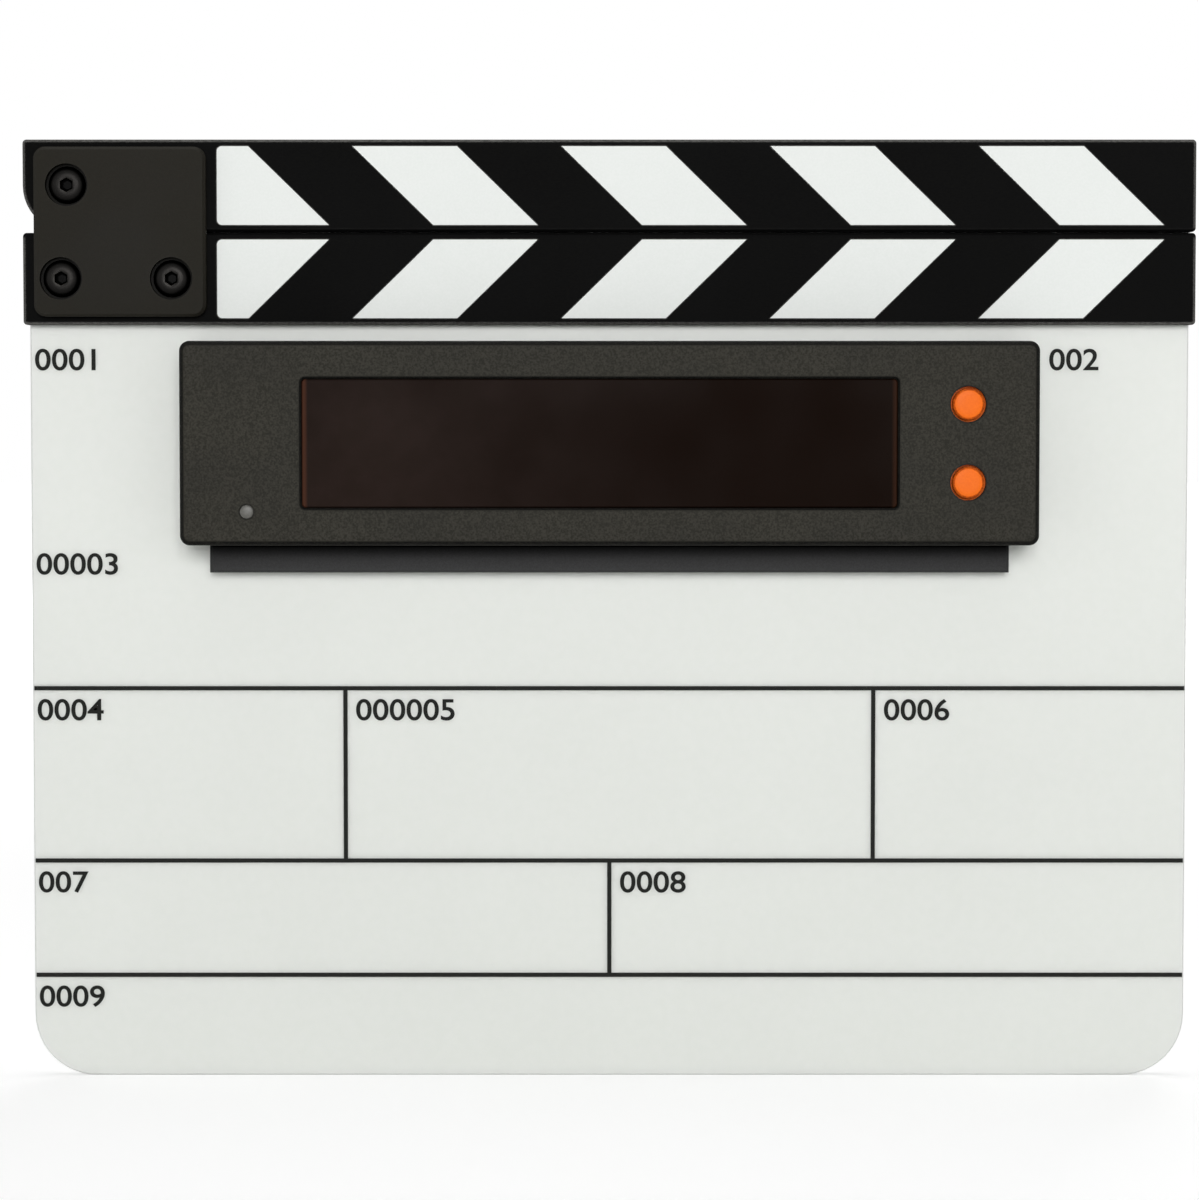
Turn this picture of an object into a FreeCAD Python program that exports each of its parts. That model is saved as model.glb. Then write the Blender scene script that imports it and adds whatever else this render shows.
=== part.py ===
import FreeCAD, Part
import math
import os
import re

import Sketcher

# Film slate with an electronic time display: a white board held in the groove of a lower
# clapstick, an upper clapstick that swings on a pivot between two hinge plates, and a
# battery display that stands on the ledge of an angle bracket screwed to the board.
# The slate stands upright: +X to the right as it is read, -Y towards the reader, +Z up.
# The origin is the middle of the board's bottom edge.

# Driving sizes, in millimetres.
SIZES = {
    # White board; its upper edge is a tongue that sits in the lower stick.
    "board_width": 297.0,
    "board_visible": 193.7,
    "board_thickness": 4.0,
    "board_corner_radius": 16.0,
    "board_edge": 0.4,
    "tongue_depth": 18.0,
    # Ruled lines, inlaid in the front of the board.
    "line_width": 1.05,
    "line_depth": 0.4,
    "upper_line": 100.4,
    "middle_line": 55.8,
    "lower_line": 26.1,
    "column_offset": 68.0,
    "inlay_clearance": 0.05,
    # Clapsticks.
    "stick_overhang": 1.0,
    "stick_height": 23.4,
    "lower_stick_thickness": 14.0,
    "upper_stick_thickness": 13.4,
    "clap_gap": 0.3,
    "stick_corner_radius": 1.0,
    "stick_edge": 0.6,
    "groove_clearance": 0.1,
    # White stripe patches, inlaid in the front of both sticks.
    "stripe_height": 20.0,
    "stripe_pitch": 26.6,
    "stripe_lean": 20.5,
    "stripe_start": 49.5,
    "first_stripe": 8.0,
    "stripe_corner": 1.3,
    "inlay_depth": 0.6,
    # Hinge plates, front and rear.
    "plate_width": 43.6,
    "plate_height": 43.0,
    "plate_thickness": 4.0,
    "plate_corner_radius": 3.0,
    "plate_edge": 0.7,
    "plate_inset": 3.3,
    "counterbore_diameter": 10.8,
    "counterbore_depth": 2.8,
    "hole_clearance": 0.1,
    # Hinge screws with button heads, and the barrel nuts that they thread into.
    "hinge_screw_left": 6.9,
    "hinge_screw_right": 8.7,
    "hinge_screw_diameter": 5.0,
    "hinge_screw_length": 11.0,
    "hinge_head_diameter": 9.5,
    "hinge_head_height": 2.5,
    "hinge_head_round": 1.7,
    "hex_size": 3.2,
    "hex_depth": 1.6,
    "thread_clearance": 0.05,
    "barrel_diameter": 7.0,
    "barrel_relief": 0.3,
    "barrel_end_wall": 2.0,
    # Pivot bush and thrust washers, carried by the upper stick.
    "bush_wall": 1.5,
    "bush_clearance": 0.05,
    "bush_seat": 0.02,
    "washer_diameter": 17.0,
    "washer_thickness": 1.0,
    "washer_stand": 0.25,
    # Countersunk screws that hold the board in the lower stick, driven from behind.
    "stick_screw_diameter": 3.5,
    "stick_screw_head": 6.8,
    "stick_screw_bite": 2.6,
    "stick_screw_first": 85.0,
    "stick_screw_last": 16.0,
    # Angle bracket that carries the display.
    "bracket_inset": 6.2,
    "bracket_flange": 2.5,
    "bracket_top_gap": 7.4,
    "ledge_depth": 8.5,
    "ledge_height": 7.4,
    "ledge_edge": 0.8,
    "bracket_screw_inset": 11.5,
    "bracket_screw_edge": 11.7,
    "bracket_screw_diameter": 3.0,
    "bracket_screw_head": 5.8,
    "screw_tip_gap": 0.3,
    # Screws that hold the display to the bracket, and their inserts.
    "display_screw_inset": 46.1,
    "display_screw_diameter": 4.0,
    "display_screw_head": 7.6,
    "insert_diameter": 5.6,
    "insert_length": 5.5,
    "insert_boss_diameter": 9.0,
    "insert_boss_height": 3.6,
    # Display case: front shell and rear cover.
    "display_width": 216.2,
    "display_height": 51.4,
    "display_depth": 20.0,
    "display_drop": 4.3,
    "display_corner_radius": 2.5,
    "display_front_round": 1.6,
    "shell_wall": 2.0,
    "front_wall": 2.5,
    "cover_thickness": 3.0,
    "cover_edge": 0.5,
    "lip_height": 1.5,
    "lip_wall": 1.2,
    "lip_clearance": 0.15,
    "cover_boss_diameter": 6.4,
    "cover_boss_merge": 0.6,
    "cover_screw_diameter": 2.6,
    "cover_screw_head": 4.8,
    "cover_screw_length": 10.0,
    # Tinted window and its seal.
    "window_left": 30.7,
    "window_right": 35.7,
    "window_height": 32.5,
    "window_corner_radius": 1.0,
    "window_recess": 0.3,
    "window_edge": 0.5,
    "window_clearance": 0.15,
    "window_flange": 1.2,
    "window_margin": 2.0,
    "seal_thickness": 0.5,
    # Digit modules on the circuit board behind the window.
    "digit_side": 1.4,
    "digit_edge": 1.75,
    "digit_space": 1.0,
    "digit_depth": 6.5,
    "digit_gap": 0.3,
    "figure_gap": 7.0,
    "figure_margin": 4.0,
    "segment_width": 2.2,
    "segment_gap": 0.9,
    "segment_depth": 0.4,
    "circuit_end_gap": 8.1,
    "circuit_side_gap": 1.7,
    "circuit_thickness": 1.6,
    "circuit_post_diameter": 5.0,
    "circuit_post_gap": 2.1,
    "circuit_post_inset": 3.0,
    "circuit_screw_diameter": 2.0,
    "circuit_screw_head": 3.8,
    "circuit_screw_head_height": 1.3,
    "circuit_screw_bite": 5.0,
    # Push buttons and their switches.
    "button_offset": 17.7,
    "button_spacing": 19.7,
    "button_diameter": 8.0,
    "button_gap": 0.5,
    "button_proud": 0.6,
    "button_round": 0.8,
    "button_flange": 11.0,
    "button_flange_thickness": 1.2,
    "button_rest_gap": 0.05,
    "button_stem": 3.4,
    "switch_width": 6.0,
    "switch_height": 3.5,
    "switch_floor": 1.0,
    "plunger_stand": 0.8,
    "plunger_engage": 1.2,
    "plunger_clearance": 0.1,
    # Light-sensor lens.
    "lens_offset": 13.8,
    "lens_rise": 8.5,
    "lens_diameter": 3.4,
    "lens_clearance": 0.1,
    "lens_flange": 5.2,
    "lens_flange_thickness": 1.0,
    "sensor_width": 3.2,
    "sensor_height": 1.0,
    # Battery and charging socket.
    "battery_height": 35.0,
    "battery_thickness": 4.0,
    "battery_round": 1.2,
    "battery_end_gap": 1.5,
    "socket_width": 8.9,
    "socket_height": 3.2,
    "socket_length": 7.4,
    "socket_wall": 0.35,
    "socket_back": 1.0,
    "socket_tongue": 0.7,
    "socket_tongue_inset": 0.7,
    "socket_inset": 0.8,
    "socket_gap": 0.3,
    "socket_tab_margin": 3.0,
}

STICK_SCREWS = 4
DIGIT_MODULES = 4

# Edges of the stripe pattern, counted from the hinge, that bound the first full patch.
FULL_PATCH_EDGES = (1, 2)

# How far the middle of a quarter round lies in from its two faces, as a share of its radius.
ROUND_MIDDLE = "(1 - sqrt(1 / 2))"

# Places that several pieces share, as formulas of the sizes above.
STICK_LENGTH = "(board_width + 2 * stick_overhang)"
STICK_LEFT = f"(-{STICK_LENGTH} / 2)"
LOWER_MID = "(board_visible + stick_height / 2)"
UPPER_BASE = "(board_visible + stick_height + clap_gap)"
SEAM = "(board_visible + stick_height + clap_gap / 2)"
PIVOT_X = f"({STICK_LEFT} + stick_height / 2)"
PIVOT_Z = f"({UPPER_BASE} + stick_height / 2)"
STICK_FACE = "(lower_stick_thickness / 2)"
PLATE_FLOOR = "(plate_thickness - counterbore_depth)"
PLATE_X = f"({STICK_LEFT} + plate_inset + plate_width / 2)"
HINGE_HOLE = "(barrel_diameter + 2 * hole_clearance)"
HINGE_SCREW_X = f"({STICK_LEFT} + plate_inset + hinge_screw_left)"
HINGE_SCREW_RUN = "(plate_width - hinge_screw_left - hinge_screw_right)"
BARREL_LENGTH = f"(lower_stick_thickness + 2 * {PLATE_FLOOR} - barrel_relief)"
BUSH_BORE = "(barrel_diameter + 2 * bush_clearance)"
BUSH_OUTER = f"({BUSH_BORE} + 2 * bush_wall)"
WASHER_RECESS = "(washer_thickness - washer_stand)"
STICK_SCREW_X = f"({STICK_LEFT} + stick_screw_first)"
STICK_SCREW_RUN = f"({STICK_LENGTH} - stick_screw_first - stick_screw_last)"
STICK_SCREW_REACH = "(lower_stick_thickness / 2 + board_thickness / 2 + stick_screw_bite)"
BOARD_FACE = "(board_thickness / 2)"
BRACKET_WIDTH = "(display_width - 2 * bracket_inset)"
BRACKET_TOP = "(ledge_height + display_height - bracket_top_gap)"
BRACKET_SCREW_X = f"({BRACKET_WIDTH} / 2 - bracket_screw_inset)"
BRACKET_SCREW_Z = "(display_height / 2 - bracket_screw_edge)"
DISPLAY_SCREW_X = "(display_width / 2 - display_screw_inset)"
DISPLAY_BASE = "(board_visible - display_drop - display_height)"
DISPLAY_MID = f"({DISPLAY_BASE} + display_height / 2)"
DISPLAY_REAR = f"(-{BOARD_FACE} - bracket_flange)"
SHELL_FRONT = "(display_depth - front_wall)"
WINDOW_WIDTH = "(display_width - window_left - window_right)"
WINDOW_X = "((window_left - window_right) / 2)"
DIGIT_ROOM = f"({WINDOW_WIDTH} - 2 * digit_side + digit_space)"
DIGIT_PITCH = f"({DIGIT_ROOM} / {DIGIT_MODULES})"
DIGIT_WIDTH = f"({DIGIT_PITCH} - digit_space)"
DIGIT_HEIGHT = "(window_height - 2 * digit_edge)"
FIGURE_WIDTH = f"({DIGIT_WIDTH} / 2 - figure_gap)"
FIGURE_HEIGHT = f"({DIGIT_HEIGHT} - 2 * figure_margin)"
CIRCUIT_FRONT = f"({SHELL_FRONT} - seal_thickness - window_flange - digit_gap - digit_depth)"
CIRCUIT_REAR = f"({CIRCUIT_FRONT} - circuit_thickness)"
COVER_BOSS_X = "(display_width / 2 - shell_wall - cover_boss_diameter / 2 + cover_boss_merge)"
COVER_BOSS_Z = "(display_height / 2 - shell_wall - cover_boss_diameter / 2 + cover_boss_merge)"
CIRCUIT_LENGTH = "(display_width - 2 * (shell_wall + circuit_end_gap))"
CIRCUIT_HEIGHT = "(display_height - 2 * (shell_wall + circuit_side_gap))"
POST_Z = f"({CIRCUIT_HEIGHT} / 2 - circuit_post_inset)"
POST_REACH = f"({WINDOW_WIDTH} / 2 + window_margin + circuit_post_gap + circuit_post_diameter / 2)"
BUTTON_X = f"({WINDOW_X} + {WINDOW_WIDTH} / 2 + button_offset)"
LENS_X = f"({WINDOW_X} - {WINDOW_WIDTH} / 2 - lens_offset)"
LENS_Z = "(lens_rise - display_height / 2)"
SWITCH_TOP = f"({CIRCUIT_FRONT} + switch_height)"
PLUNGER_TOP = f"({SWITCH_TOP} + plunger_stand)"

doc = FreeCAD.newDocument("Clapperboard")
sheet = doc.addObject("Spreadsheet::Sheet", "Dims")
for row, (alias, size) in enumerate(SIZES.items(), start=1):
    sheet.set(f"A{row}", str(size))
    sheet.setAlias(f"A{row}", alias)
doc.recompute()

parts = []


def cells(text):
    """Write each size named in a formula as a reference to its cell."""
    return re.sub(r"[a-z_]+", lambda m: f"Dims.{m[0]}" if m[0] in SIZES else m[0], text)


def value(text):
    """Work out a formula of the sizes, for the first sketch of a shape."""
    return float(sheet.evalExpression(cells(text)))


def new_body(label, x="0", y="0", z="0"):
    """Start a sub-part whose own origin stands at the place given by three formulas."""
    body = doc.addObject("PartDesign::Body", label)
    body.Label = label
    for axis, text in zip("xyz", (x, y, z)):
        body.setExpression(f"Placement.Base.{axis}", cells(text))
    parts.append(body)
    return body


def origin_feature(body, role):
    return next(item for item in body.Origin.OriginFeatures if item.Role == role)


def new_sketch(body, name, plane="XZ_Plane", x="0", y="0", out="0"):
    """Add a sketch on an origin plane; out is along the plane's normal, forwards for XZ."""
    sketch = body.newObject("Sketcher::SketchObject", name)
    sketch.AttachmentSupport = [(origin_feature(body, plane), "")]
    sketch.MapMode = "FlatFace"
    for axis, text in zip("xyz", (x, y, out)):
        sketch.setExpression(f"AttachmentOffset.Base.{axis}", cells(text))
    return sketch


def constrain(sketch, kind, points, text):
    """Add a measured constraint that follows a formula."""
    index = sketch.addConstraint(Sketcher.Constraint(kind, *points, value(text)))
    sketch.setExpression(f"Constraints[{index}]", cells(text))


def add_polygon(sketch, corners):
    """Draw a closed outline through corners that are pairs of formulas."""
    first = sketch.GeometryCount
    spots = [FreeCAD.Vector(value(x), value(y), 0) for x, y in corners]
    count = len(spots)
    for index in range(count):
        sketch.addGeometry(Part.LineSegment(spots[index], spots[(index + 1) % count]))
    for index in range(count):
        following = first + (index + 1) % count
        sketch.addConstraint(Sketcher.Constraint("Coincident", first + index, 2, following, 1))
    for index, (x, y) in enumerate(corners):
        constrain(sketch, "DistanceX", (-1, 1, first + index, 1), x)
        constrain(sketch, "DistanceY", (-1, 1, first + index, 1), y)


def add_rectangle(sketch, width, height, x="0", y="0"):
    """Draw a rectangle about the point x, y."""
    left, right = f"{x} - ({width}) / 2", f"{x} + ({width}) / 2"
    low, high = f"{y} - ({height}) / 2", f"{y} + ({height}) / 2"
    add_polygon(sketch, [(left, low), (right, low), (right, high), (left, high)])


def add_circle(sketch, diameter, x="0", y="0"):
    """Draw a circle about the point x, y."""
    centre = FreeCAD.Vector(value(x), value(y), 0)
    index = sketch.addGeometry(Part.Circle(centre, FreeCAD.Vector(0, 0, 1), value(diameter) / 2))
    constrain(sketch, "Diameter", (index,), diameter)
    constrain(sketch, "DistanceX", (-1, 1, index, 3), x)
    constrain(sketch, "DistanceY", (-1, 1, index, 3), y)


def add_stadium(sketch, width, height):
    """Draw a slot with half-round ends about the sketch's origin, long in its second axis."""
    radius, run = value(width) / 2, (value(height) - value(width)) / 2
    up, centre = FreeCAD.Vector(0, 0, 1), FreeCAD.Vector(0, run, 0)
    right, left, top, bottom = range(4)
    sketch.addGeometry(Part.LineSegment(FreeCAD.Vector(radius, -run, 0), FreeCAD.Vector(radius, run, 0)))
    sketch.addGeometry(Part.LineSegment(FreeCAD.Vector(-radius, run, 0), FreeCAD.Vector(-radius, -run, 0)))
    sketch.addGeometry(Part.ArcOfCircle(Part.Circle(centre, up, radius), 0, math.pi))
    sketch.addGeometry(Part.ArcOfCircle(Part.Circle(-centre, up, radius), math.pi, 2 * math.pi))
    for first, second in ((right, top), (top, left), (left, bottom), (bottom, right)):
        sketch.addConstraint(Sketcher.Constraint("Tangent", first, 2, second, 1))
    sketch.addConstraint(Sketcher.Constraint("Vertical", right))
    sketch.addConstraint(Sketcher.Constraint("Symmetric", top, 3, bottom, 3, -1, 1))
    constrain(sketch, "Radius", (top,), f"({width}) / 2")
    constrain(sketch, "DistanceY", (bottom, 3, top, 3), f"({height}) - ({width})")


def pad(body, sketch, length, symmetric=False):
    """Add material from a sketch along its normal, or to both sides of it."""
    feature = body.newObject("PartDesign::Pad", f"{sketch.Name}_pad")
    feature.Profile = sketch
    feature.setExpression("Length", cells(length))
    if symmetric:
        feature.SideType = "Symmetric"
    doc.recompute()
    return feature


def pocket(body, sketch, length=None, reverse=False):
    """Cut a sketch into the body, right through when no length is given."""
    before = body.Shape.Volume
    feature = body.newObject("PartDesign::Pocket", f"{sketch.Name}_pocket")
    feature.Profile = sketch
    feature.Reversed = reverse
    if length is None:
        feature.Type = "ThroughAll"
    else:
        feature.setExpression("Length", cells(length))
    doc.recompute()
    if not body.Shape.Volume < before:
        raise RuntimeError(f"{feature.Name} cuts nothing")
    return feature


def edges(feature, wanted):
    return [f"Edge{i}" for i, edge in enumerate(feature.Shape.Edges, start=1) if wanted(edge)]


def fillet(body, name, feature, wanted, radius):
    """Round the edges of a feature that a test picks out."""
    rounded = body.newObject("PartDesign::Fillet", name)
    rounded.Base = (feature, edges(feature, wanted))
    rounded.setExpression("Radius", cells(radius))
    doc.recompute()
    return rounded


def chamfer(body, name, feature, wanted, size):
    """Bevel the edges of a feature that a test picks out."""
    bevelled = body.newObject("PartDesign::Chamfer", name)
    bevelled.Base = (feature, edges(feature, wanted))
    bevelled.setExpression("Size", cells(size))
    doc.recompute()
    return bevelled


def turned(body, name, profile):
    """Revolve a closed outline of radius and depth about the Y axis of the body."""
    sketch = new_sketch(body, f"{name}_profile", "XY_Plane")
    add_polygon(sketch, profile)
    feature = body.newObject("PartDesign::Revolution", name)
    feature.Profile = sketch
    feature.ReferenceAxis = (sketch, ["V_Axis"])
    feature.Angle = 360
    doc.recompute()
    return feature


def rounded_rim(radius, top, rounding, inward="+"):
    """Outline points that round the rim of a turned piece in two conical steps."""
    return [
        (f"{radius} - {rounding}", top),
        (f"{radius} - {ROUND_MIDDLE} * {rounding}", f"{top} {inward} {ROUND_MIDDLE} * {rounding}"),
        (radius, f"{top} {inward} {rounding}"),
    ]


def repeat(body, name, extent, count, axis="X_Axis", features=None):
    """Repeat the whole body, or some of its features, evenly over an extent."""
    pattern = body.newObject("PartDesign::LinearPattern", name)
    if features is None:
        pattern.TransformMode = "Whole shape"
    else:
        pattern.Originals = features
    pattern.Direction = (origin_feature(body, axis), [""])
    pattern.setExpression("Length", cells(extent))
    if isinstance(count, str):
        pattern.setExpression("Occurrences", cells(count))
    else:
        pattern.Occurrences = count
    body.Tip = pattern
    doc.recompute()
    return pattern


def runs_along(axis):
    """Pick straight edges parallel to an axis."""
    def wanted(edge):
        if edge.Curve.TypeId != "Part::GeomLine":
            return False
        return abs(edge.Curve.Direction.dot(axis)) > 1 - NEAR
    return wanted


ALONG_X = FreeCAD.Vector(1, 0, 0)
ALONG_Y = FreeCAD.Vector(0, 1, 0)
NEAR = 1e-4


def lies_at(depth):
    """Pick edges that lie in one plane square to Y."""
    level = value(depth)

    def wanted(edge):
        box = edge.BoundBox
        return abs(box.YMin - level) < NEAR and abs(box.YMax - level) < NEAR
    return wanted


def lies_within(middle, width, height):
    """Pick edges whose middle is in an upright rectangle, as seen from the front."""
    centre, reach, rise = value(middle), value(width) / 2 + NEAR, value(height) / 2 + NEAR

    def wanted(edge):
        spot = edge.BoundBox.Center
        return abs(spot.x - centre) < reach and abs(spot.z) < rise
    return wanted


def is_circle(diameter):
    """Pick whole circles of one diameter."""
    radius = value(diameter) / 2

    def wanted(edge):
        if edge.Curve.TypeId != "Part::GeomCircle" or not edge.isClosed():
            return False
        return abs(edge.Curve.Radius - radius) < NEAR
    return wanted


def both(*tests):
    return lambda edge: all(test(edge) for test in tests)


def neither(*tests):
    return lambda edge: not any(test(edge) for test in tests)


def ruled_line_outlines(body, name, out, growth):
    """Sketch the three lines across the board and the three columns between them."""
    full = "board_width - 2 * board_edge"
    width = f"(line_width + 2 * {growth})"
    rows = ("upper_line", "middle_line", "lower_line")
    columns = (
        ("-column_offset", "middle_line", "upper_line"),
        ("column_offset", "middle_line", "upper_line"),
        ("0", "lower_line", "middle_line"),
    )
    sketches = []
    for index, height in enumerate(rows):
        sketch = new_sketch(body, f"{name}_row{index}", y=height, out=out)
        add_rectangle(sketch, full, width)
        sketches.append(sketch)
    for index, (x, low, high) in enumerate(columns):
        middle = f"({low} + {high}) / 2"
        sketch = new_sketch(body, f"{name}_column{index}", x=x, y=middle, out=out)
        add_rectangle(sketch, width, f"{high} - {low}")
        sketches.append(sketch)
    return sketches


def build_board():
    body = new_body("slate_board", y=BOARD_FACE)
    tall = "(board_visible + tongue_depth)"
    outline = new_sketch(body, "board_outline", y=f"{tall} / 2")
    add_rectangle(outline, "board_width", tall)
    sheet_pad = pad(body, outline, "board_thickness")
    at_bottom = lambda edge: edge.BoundBox.ZMax < NEAR
    rounded = fillet(body, "board_corners", sheet_pad, both(runs_along(ALONG_Y), at_bottom),
                     "board_corner_radius")
    chamfer(body, "board_edges", rounded, neither(runs_along(ALONG_Y)), "board_edge")
    for sketch in ruled_line_outlines(body, "board_groove", "board_thickness", "inlay_clearance"):
        pocket(body, sketch, "line_depth")
    hinge_holes = new_sketch(body, "board_hinge_holes", y=LOWER_MID)
    for x in (HINGE_SCREW_X, f"{HINGE_SCREW_X} + {HINGE_SCREW_RUN}"):
        add_circle(hinge_holes, HINGE_HOLE, x)
    pocket(body, hinge_holes, "board_thickness", reverse=True)
    stick_hole = new_sketch(body, "board_stick_hole", x=STICK_SCREW_X, y=LOWER_MID)
    add_circle(stick_hole, "stick_screw_diameter + 2 * hole_clearance")
    first = pocket(body, stick_hole, "board_thickness", reverse=True)
    repeat(body, "board_stick_holes", STICK_SCREW_RUN, STICK_SCREWS, features=[first])
    mount_holes = new_sketch(body, "board_mount_holes", y=DISPLAY_MID)
    bracket_hole = "(bracket_screw_diameter + 2 * hole_clearance)"
    display_hole = "(display_screw_diameter + 2 * hole_clearance)"
    for side in ("-", ""):
        add_circle(mount_holes, display_hole, f"{side}{DISPLAY_SCREW_X}")
        for level in ("-", ""):
            add_circle(mount_holes, bracket_hole, f"{side}{BRACKET_SCREW_X}", f"{level}{BRACKET_SCREW_Z}")
    drilled = pocket(body, mount_holes, "board_thickness", reverse=True)
    sunk = chamfer(body, "bracket_screw_sinks", drilled, both(is_circle(bracket_hole), lies_at("0")),
                   f"(bracket_screw_head - {bracket_hole}) / 2")
    chamfer(body, "display_screw_sinks", sunk, both(is_circle(display_hole), lies_at("0")),
            f"(display_screw_head - {display_hole}) / 2")


def build_ruled_lines():
    body = new_body("ruled_lines", y=f"-{BOARD_FACE} + line_depth")
    for sketch in ruled_line_outlines(body, "line", "0", "0"):
        pad(body, sketch, "line_depth")


def stripe_corners(upper, left_edge, right_edge, growth, square_left=False):
    """Corners of one leaning patch between two of its edges, numbered from the hinge."""
    margin = "(stick_height - stripe_height) / 2"
    low = f"({margin} - {growth})"
    high = f"({margin} + stripe_height + {growth})"

    def edge_x(number, z):
        start = f"{STICK_LEFT} + stripe_start + first_stripe + {number} * stripe_pitch"
        rise = f"({margin} + stripe_height - {z})" if upper else f"({z} - {margin})"
        return f"{start} + stripe_lean * {rise} / stripe_height"

    left = [edge_x(left_edge, z) for z in (low, high)]
    if square_left:
        left = [f"{STICK_LEFT} + stripe_start"] * 2
    right = [edge_x(right_edge, z) for z in (low, high)]
    return [
        (f"{left[0]} - {growth}", low),
        (f"{right[0]} + {growth}", low),
        (f"{right[1]} + {growth}", high),
        (f"{left[1]} - {growth}", high),
    ]


def at_stripe_start(growth):
    """Pick the square corners of the patch next to the hinge plate."""
    level = value(f"{STICK_LEFT} + stripe_start - {growth}")
    return both(runs_along(ALONG_Y), lambda edge: abs(edge.BoundBox.XMin - level) < NEAR)


def stripe_features(body, upper, out, growth, make):
    """Make the short first patch and the row of full patches with one operation."""
    short = new_sketch(body, "first_patch", out=out)
    add_polygon(short, stripe_corners(upper, 0, 0, growth, square_left=True))
    rounded = fillet(body, "first_patch_corners", make(body, short, "inlay_depth"),
                     at_stripe_start(growth), f"stripe_corner + {growth}")
    body.Tip = rounded
    full = new_sketch(body, "full_patch", out=out)
    add_polygon(full, stripe_corners(upper, *FULL_PATCH_EDGES, growth))
    feature = make(body, full, "inlay_depth")
    room = f"({STICK_LENGTH} - stripe_start - first_stripe - stripe_lean)"
    count = f"floor({room} / (2 * stripe_pitch))"
    repeat(body, "patches", f"({count} - 1) * 2 * stripe_pitch", count, features=[feature])


def stick_blank(body, thickness, big_corner):
    """A stick with eased corners; the upper stick is rounded about its pivot."""
    outline = new_sketch(body, "stick_outline", y="stick_height / 2")
    add_rectangle(outline, STICK_LENGTH, "stick_height")
    blank = pad(body, outline, thickness)
    corners = runs_along(ALONG_Y)
    pivot_corner = lambda edge: edge.BoundBox.XMax < 0 and edge.BoundBox.ZMax < NEAR
    if big_corner:
        small = fillet(body, "stick_corners", blank, both(corners, neither(pivot_corner)),
                       "stick_corner_radius")
        shaped = fillet(body, "pivot_corner", small, both(corners, pivot_corner), "stick_height / 2")
    else:
        shaped = fillet(body, "stick_corners", blank, corners, "stick_corner_radius")
    return chamfer(body, "stick_edges", shaped,
                   lambda edge: lies_at("0")(edge) or lies_at(f"-{thickness}")(edge), "stick_edge")


def build_lower_stick():
    body = new_body("lower_clapstick", y=STICK_FACE, z="board_visible")
    stick_blank(body, "lower_stick_thickness", big_corner=False)
    groove = new_sketch(body, "board_groove", "XY_Plane", y=f"-{STICK_FACE}")
    add_rectangle(groove, STICK_LENGTH, "board_thickness + 2 * groove_clearance")
    pocket(body, groove, "tongue_depth", reverse=True)
    hinge_holes = new_sketch(body, "hinge_holes", y="stick_height / 2")
    for x in (HINGE_SCREW_X, f"{HINGE_SCREW_X} + {HINGE_SCREW_RUN}"):
        add_circle(hinge_holes, HINGE_HOLE, x)
    pocket(body, hinge_holes, "lower_stick_thickness", reverse=True)
    stick_hole = new_sketch(body, "stick_screw_hole", x=STICK_SCREW_X, y="stick_height / 2")
    add_circle(stick_hole, "stick_screw_diameter + 2 * thread_clearance")
    bored = pocket(body, stick_hole, f"{STICK_SCREW_REACH} + screw_tip_gap", reverse=True)
    sink = new_sketch(body, "stick_screw_sink", "XY_Plane", x=STICK_SCREW_X, out="stick_height / 2")
    top = "(stick_screw_head / 2 + hole_clearance)"
    add_polygon(sink, [("0", "0"), (top, "0"), ("0", f"-{top}")])
    cone = body.newObject("PartDesign::Groove", "stick_screw_cone")
    cone.Profile = sink
    cone.ReferenceAxis = (sink, ["V_Axis"])
    cone.Angle = 360
    doc.recompute()
    repeat(body, "stick_screw_holes", STICK_SCREW_RUN, STICK_SCREWS, features=[bored, cone])
    stripe_features(body, False, "lower_stick_thickness", "inlay_clearance", pocket)


def build_upper_stick():
    body = new_body("upper_clapstick", y="upper_stick_thickness / 2", z=UPPER_BASE)
    stick_blank(body, "upper_stick_thickness", big_corner=True)
    bore = new_sketch(body, "pivot_bore", x=PIVOT_X, y="stick_height / 2")
    add_circle(bore, f"{BUSH_OUTER} + 2 * bush_seat")
    pocket(body, bore, "upper_stick_thickness", reverse=True)
    recess = "washer_diameter + 2 * hole_clearance"
    rear = new_sketch(body, "rear_washer_recess", x=PIVOT_X, y="stick_height / 2")
    add_circle(rear, recess)
    pocket(body, rear, WASHER_RECESS, reverse=True)
    front = new_sketch(body, "front_washer_recess", x=PIVOT_X, y="stick_height / 2",
                       out="upper_stick_thickness")
    add_circle(front, recess)
    pocket(body, front, WASHER_RECESS)
    stripe_features(body, True, "upper_stick_thickness", "inlay_clearance", pocket)


def build_stripe_inlays():
    lower = new_body("lower_stripe_inlays", y=f"-{STICK_FACE} + inlay_depth", z="board_visible")
    stripe_features(lower, False, "0", "0", pad)
    upper = new_body("upper_stripe_inlays", y="-upper_stick_thickness / 2 + inlay_depth", z=UPPER_BASE)
    stripe_features(upper, True, "0", "0", pad)


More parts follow.
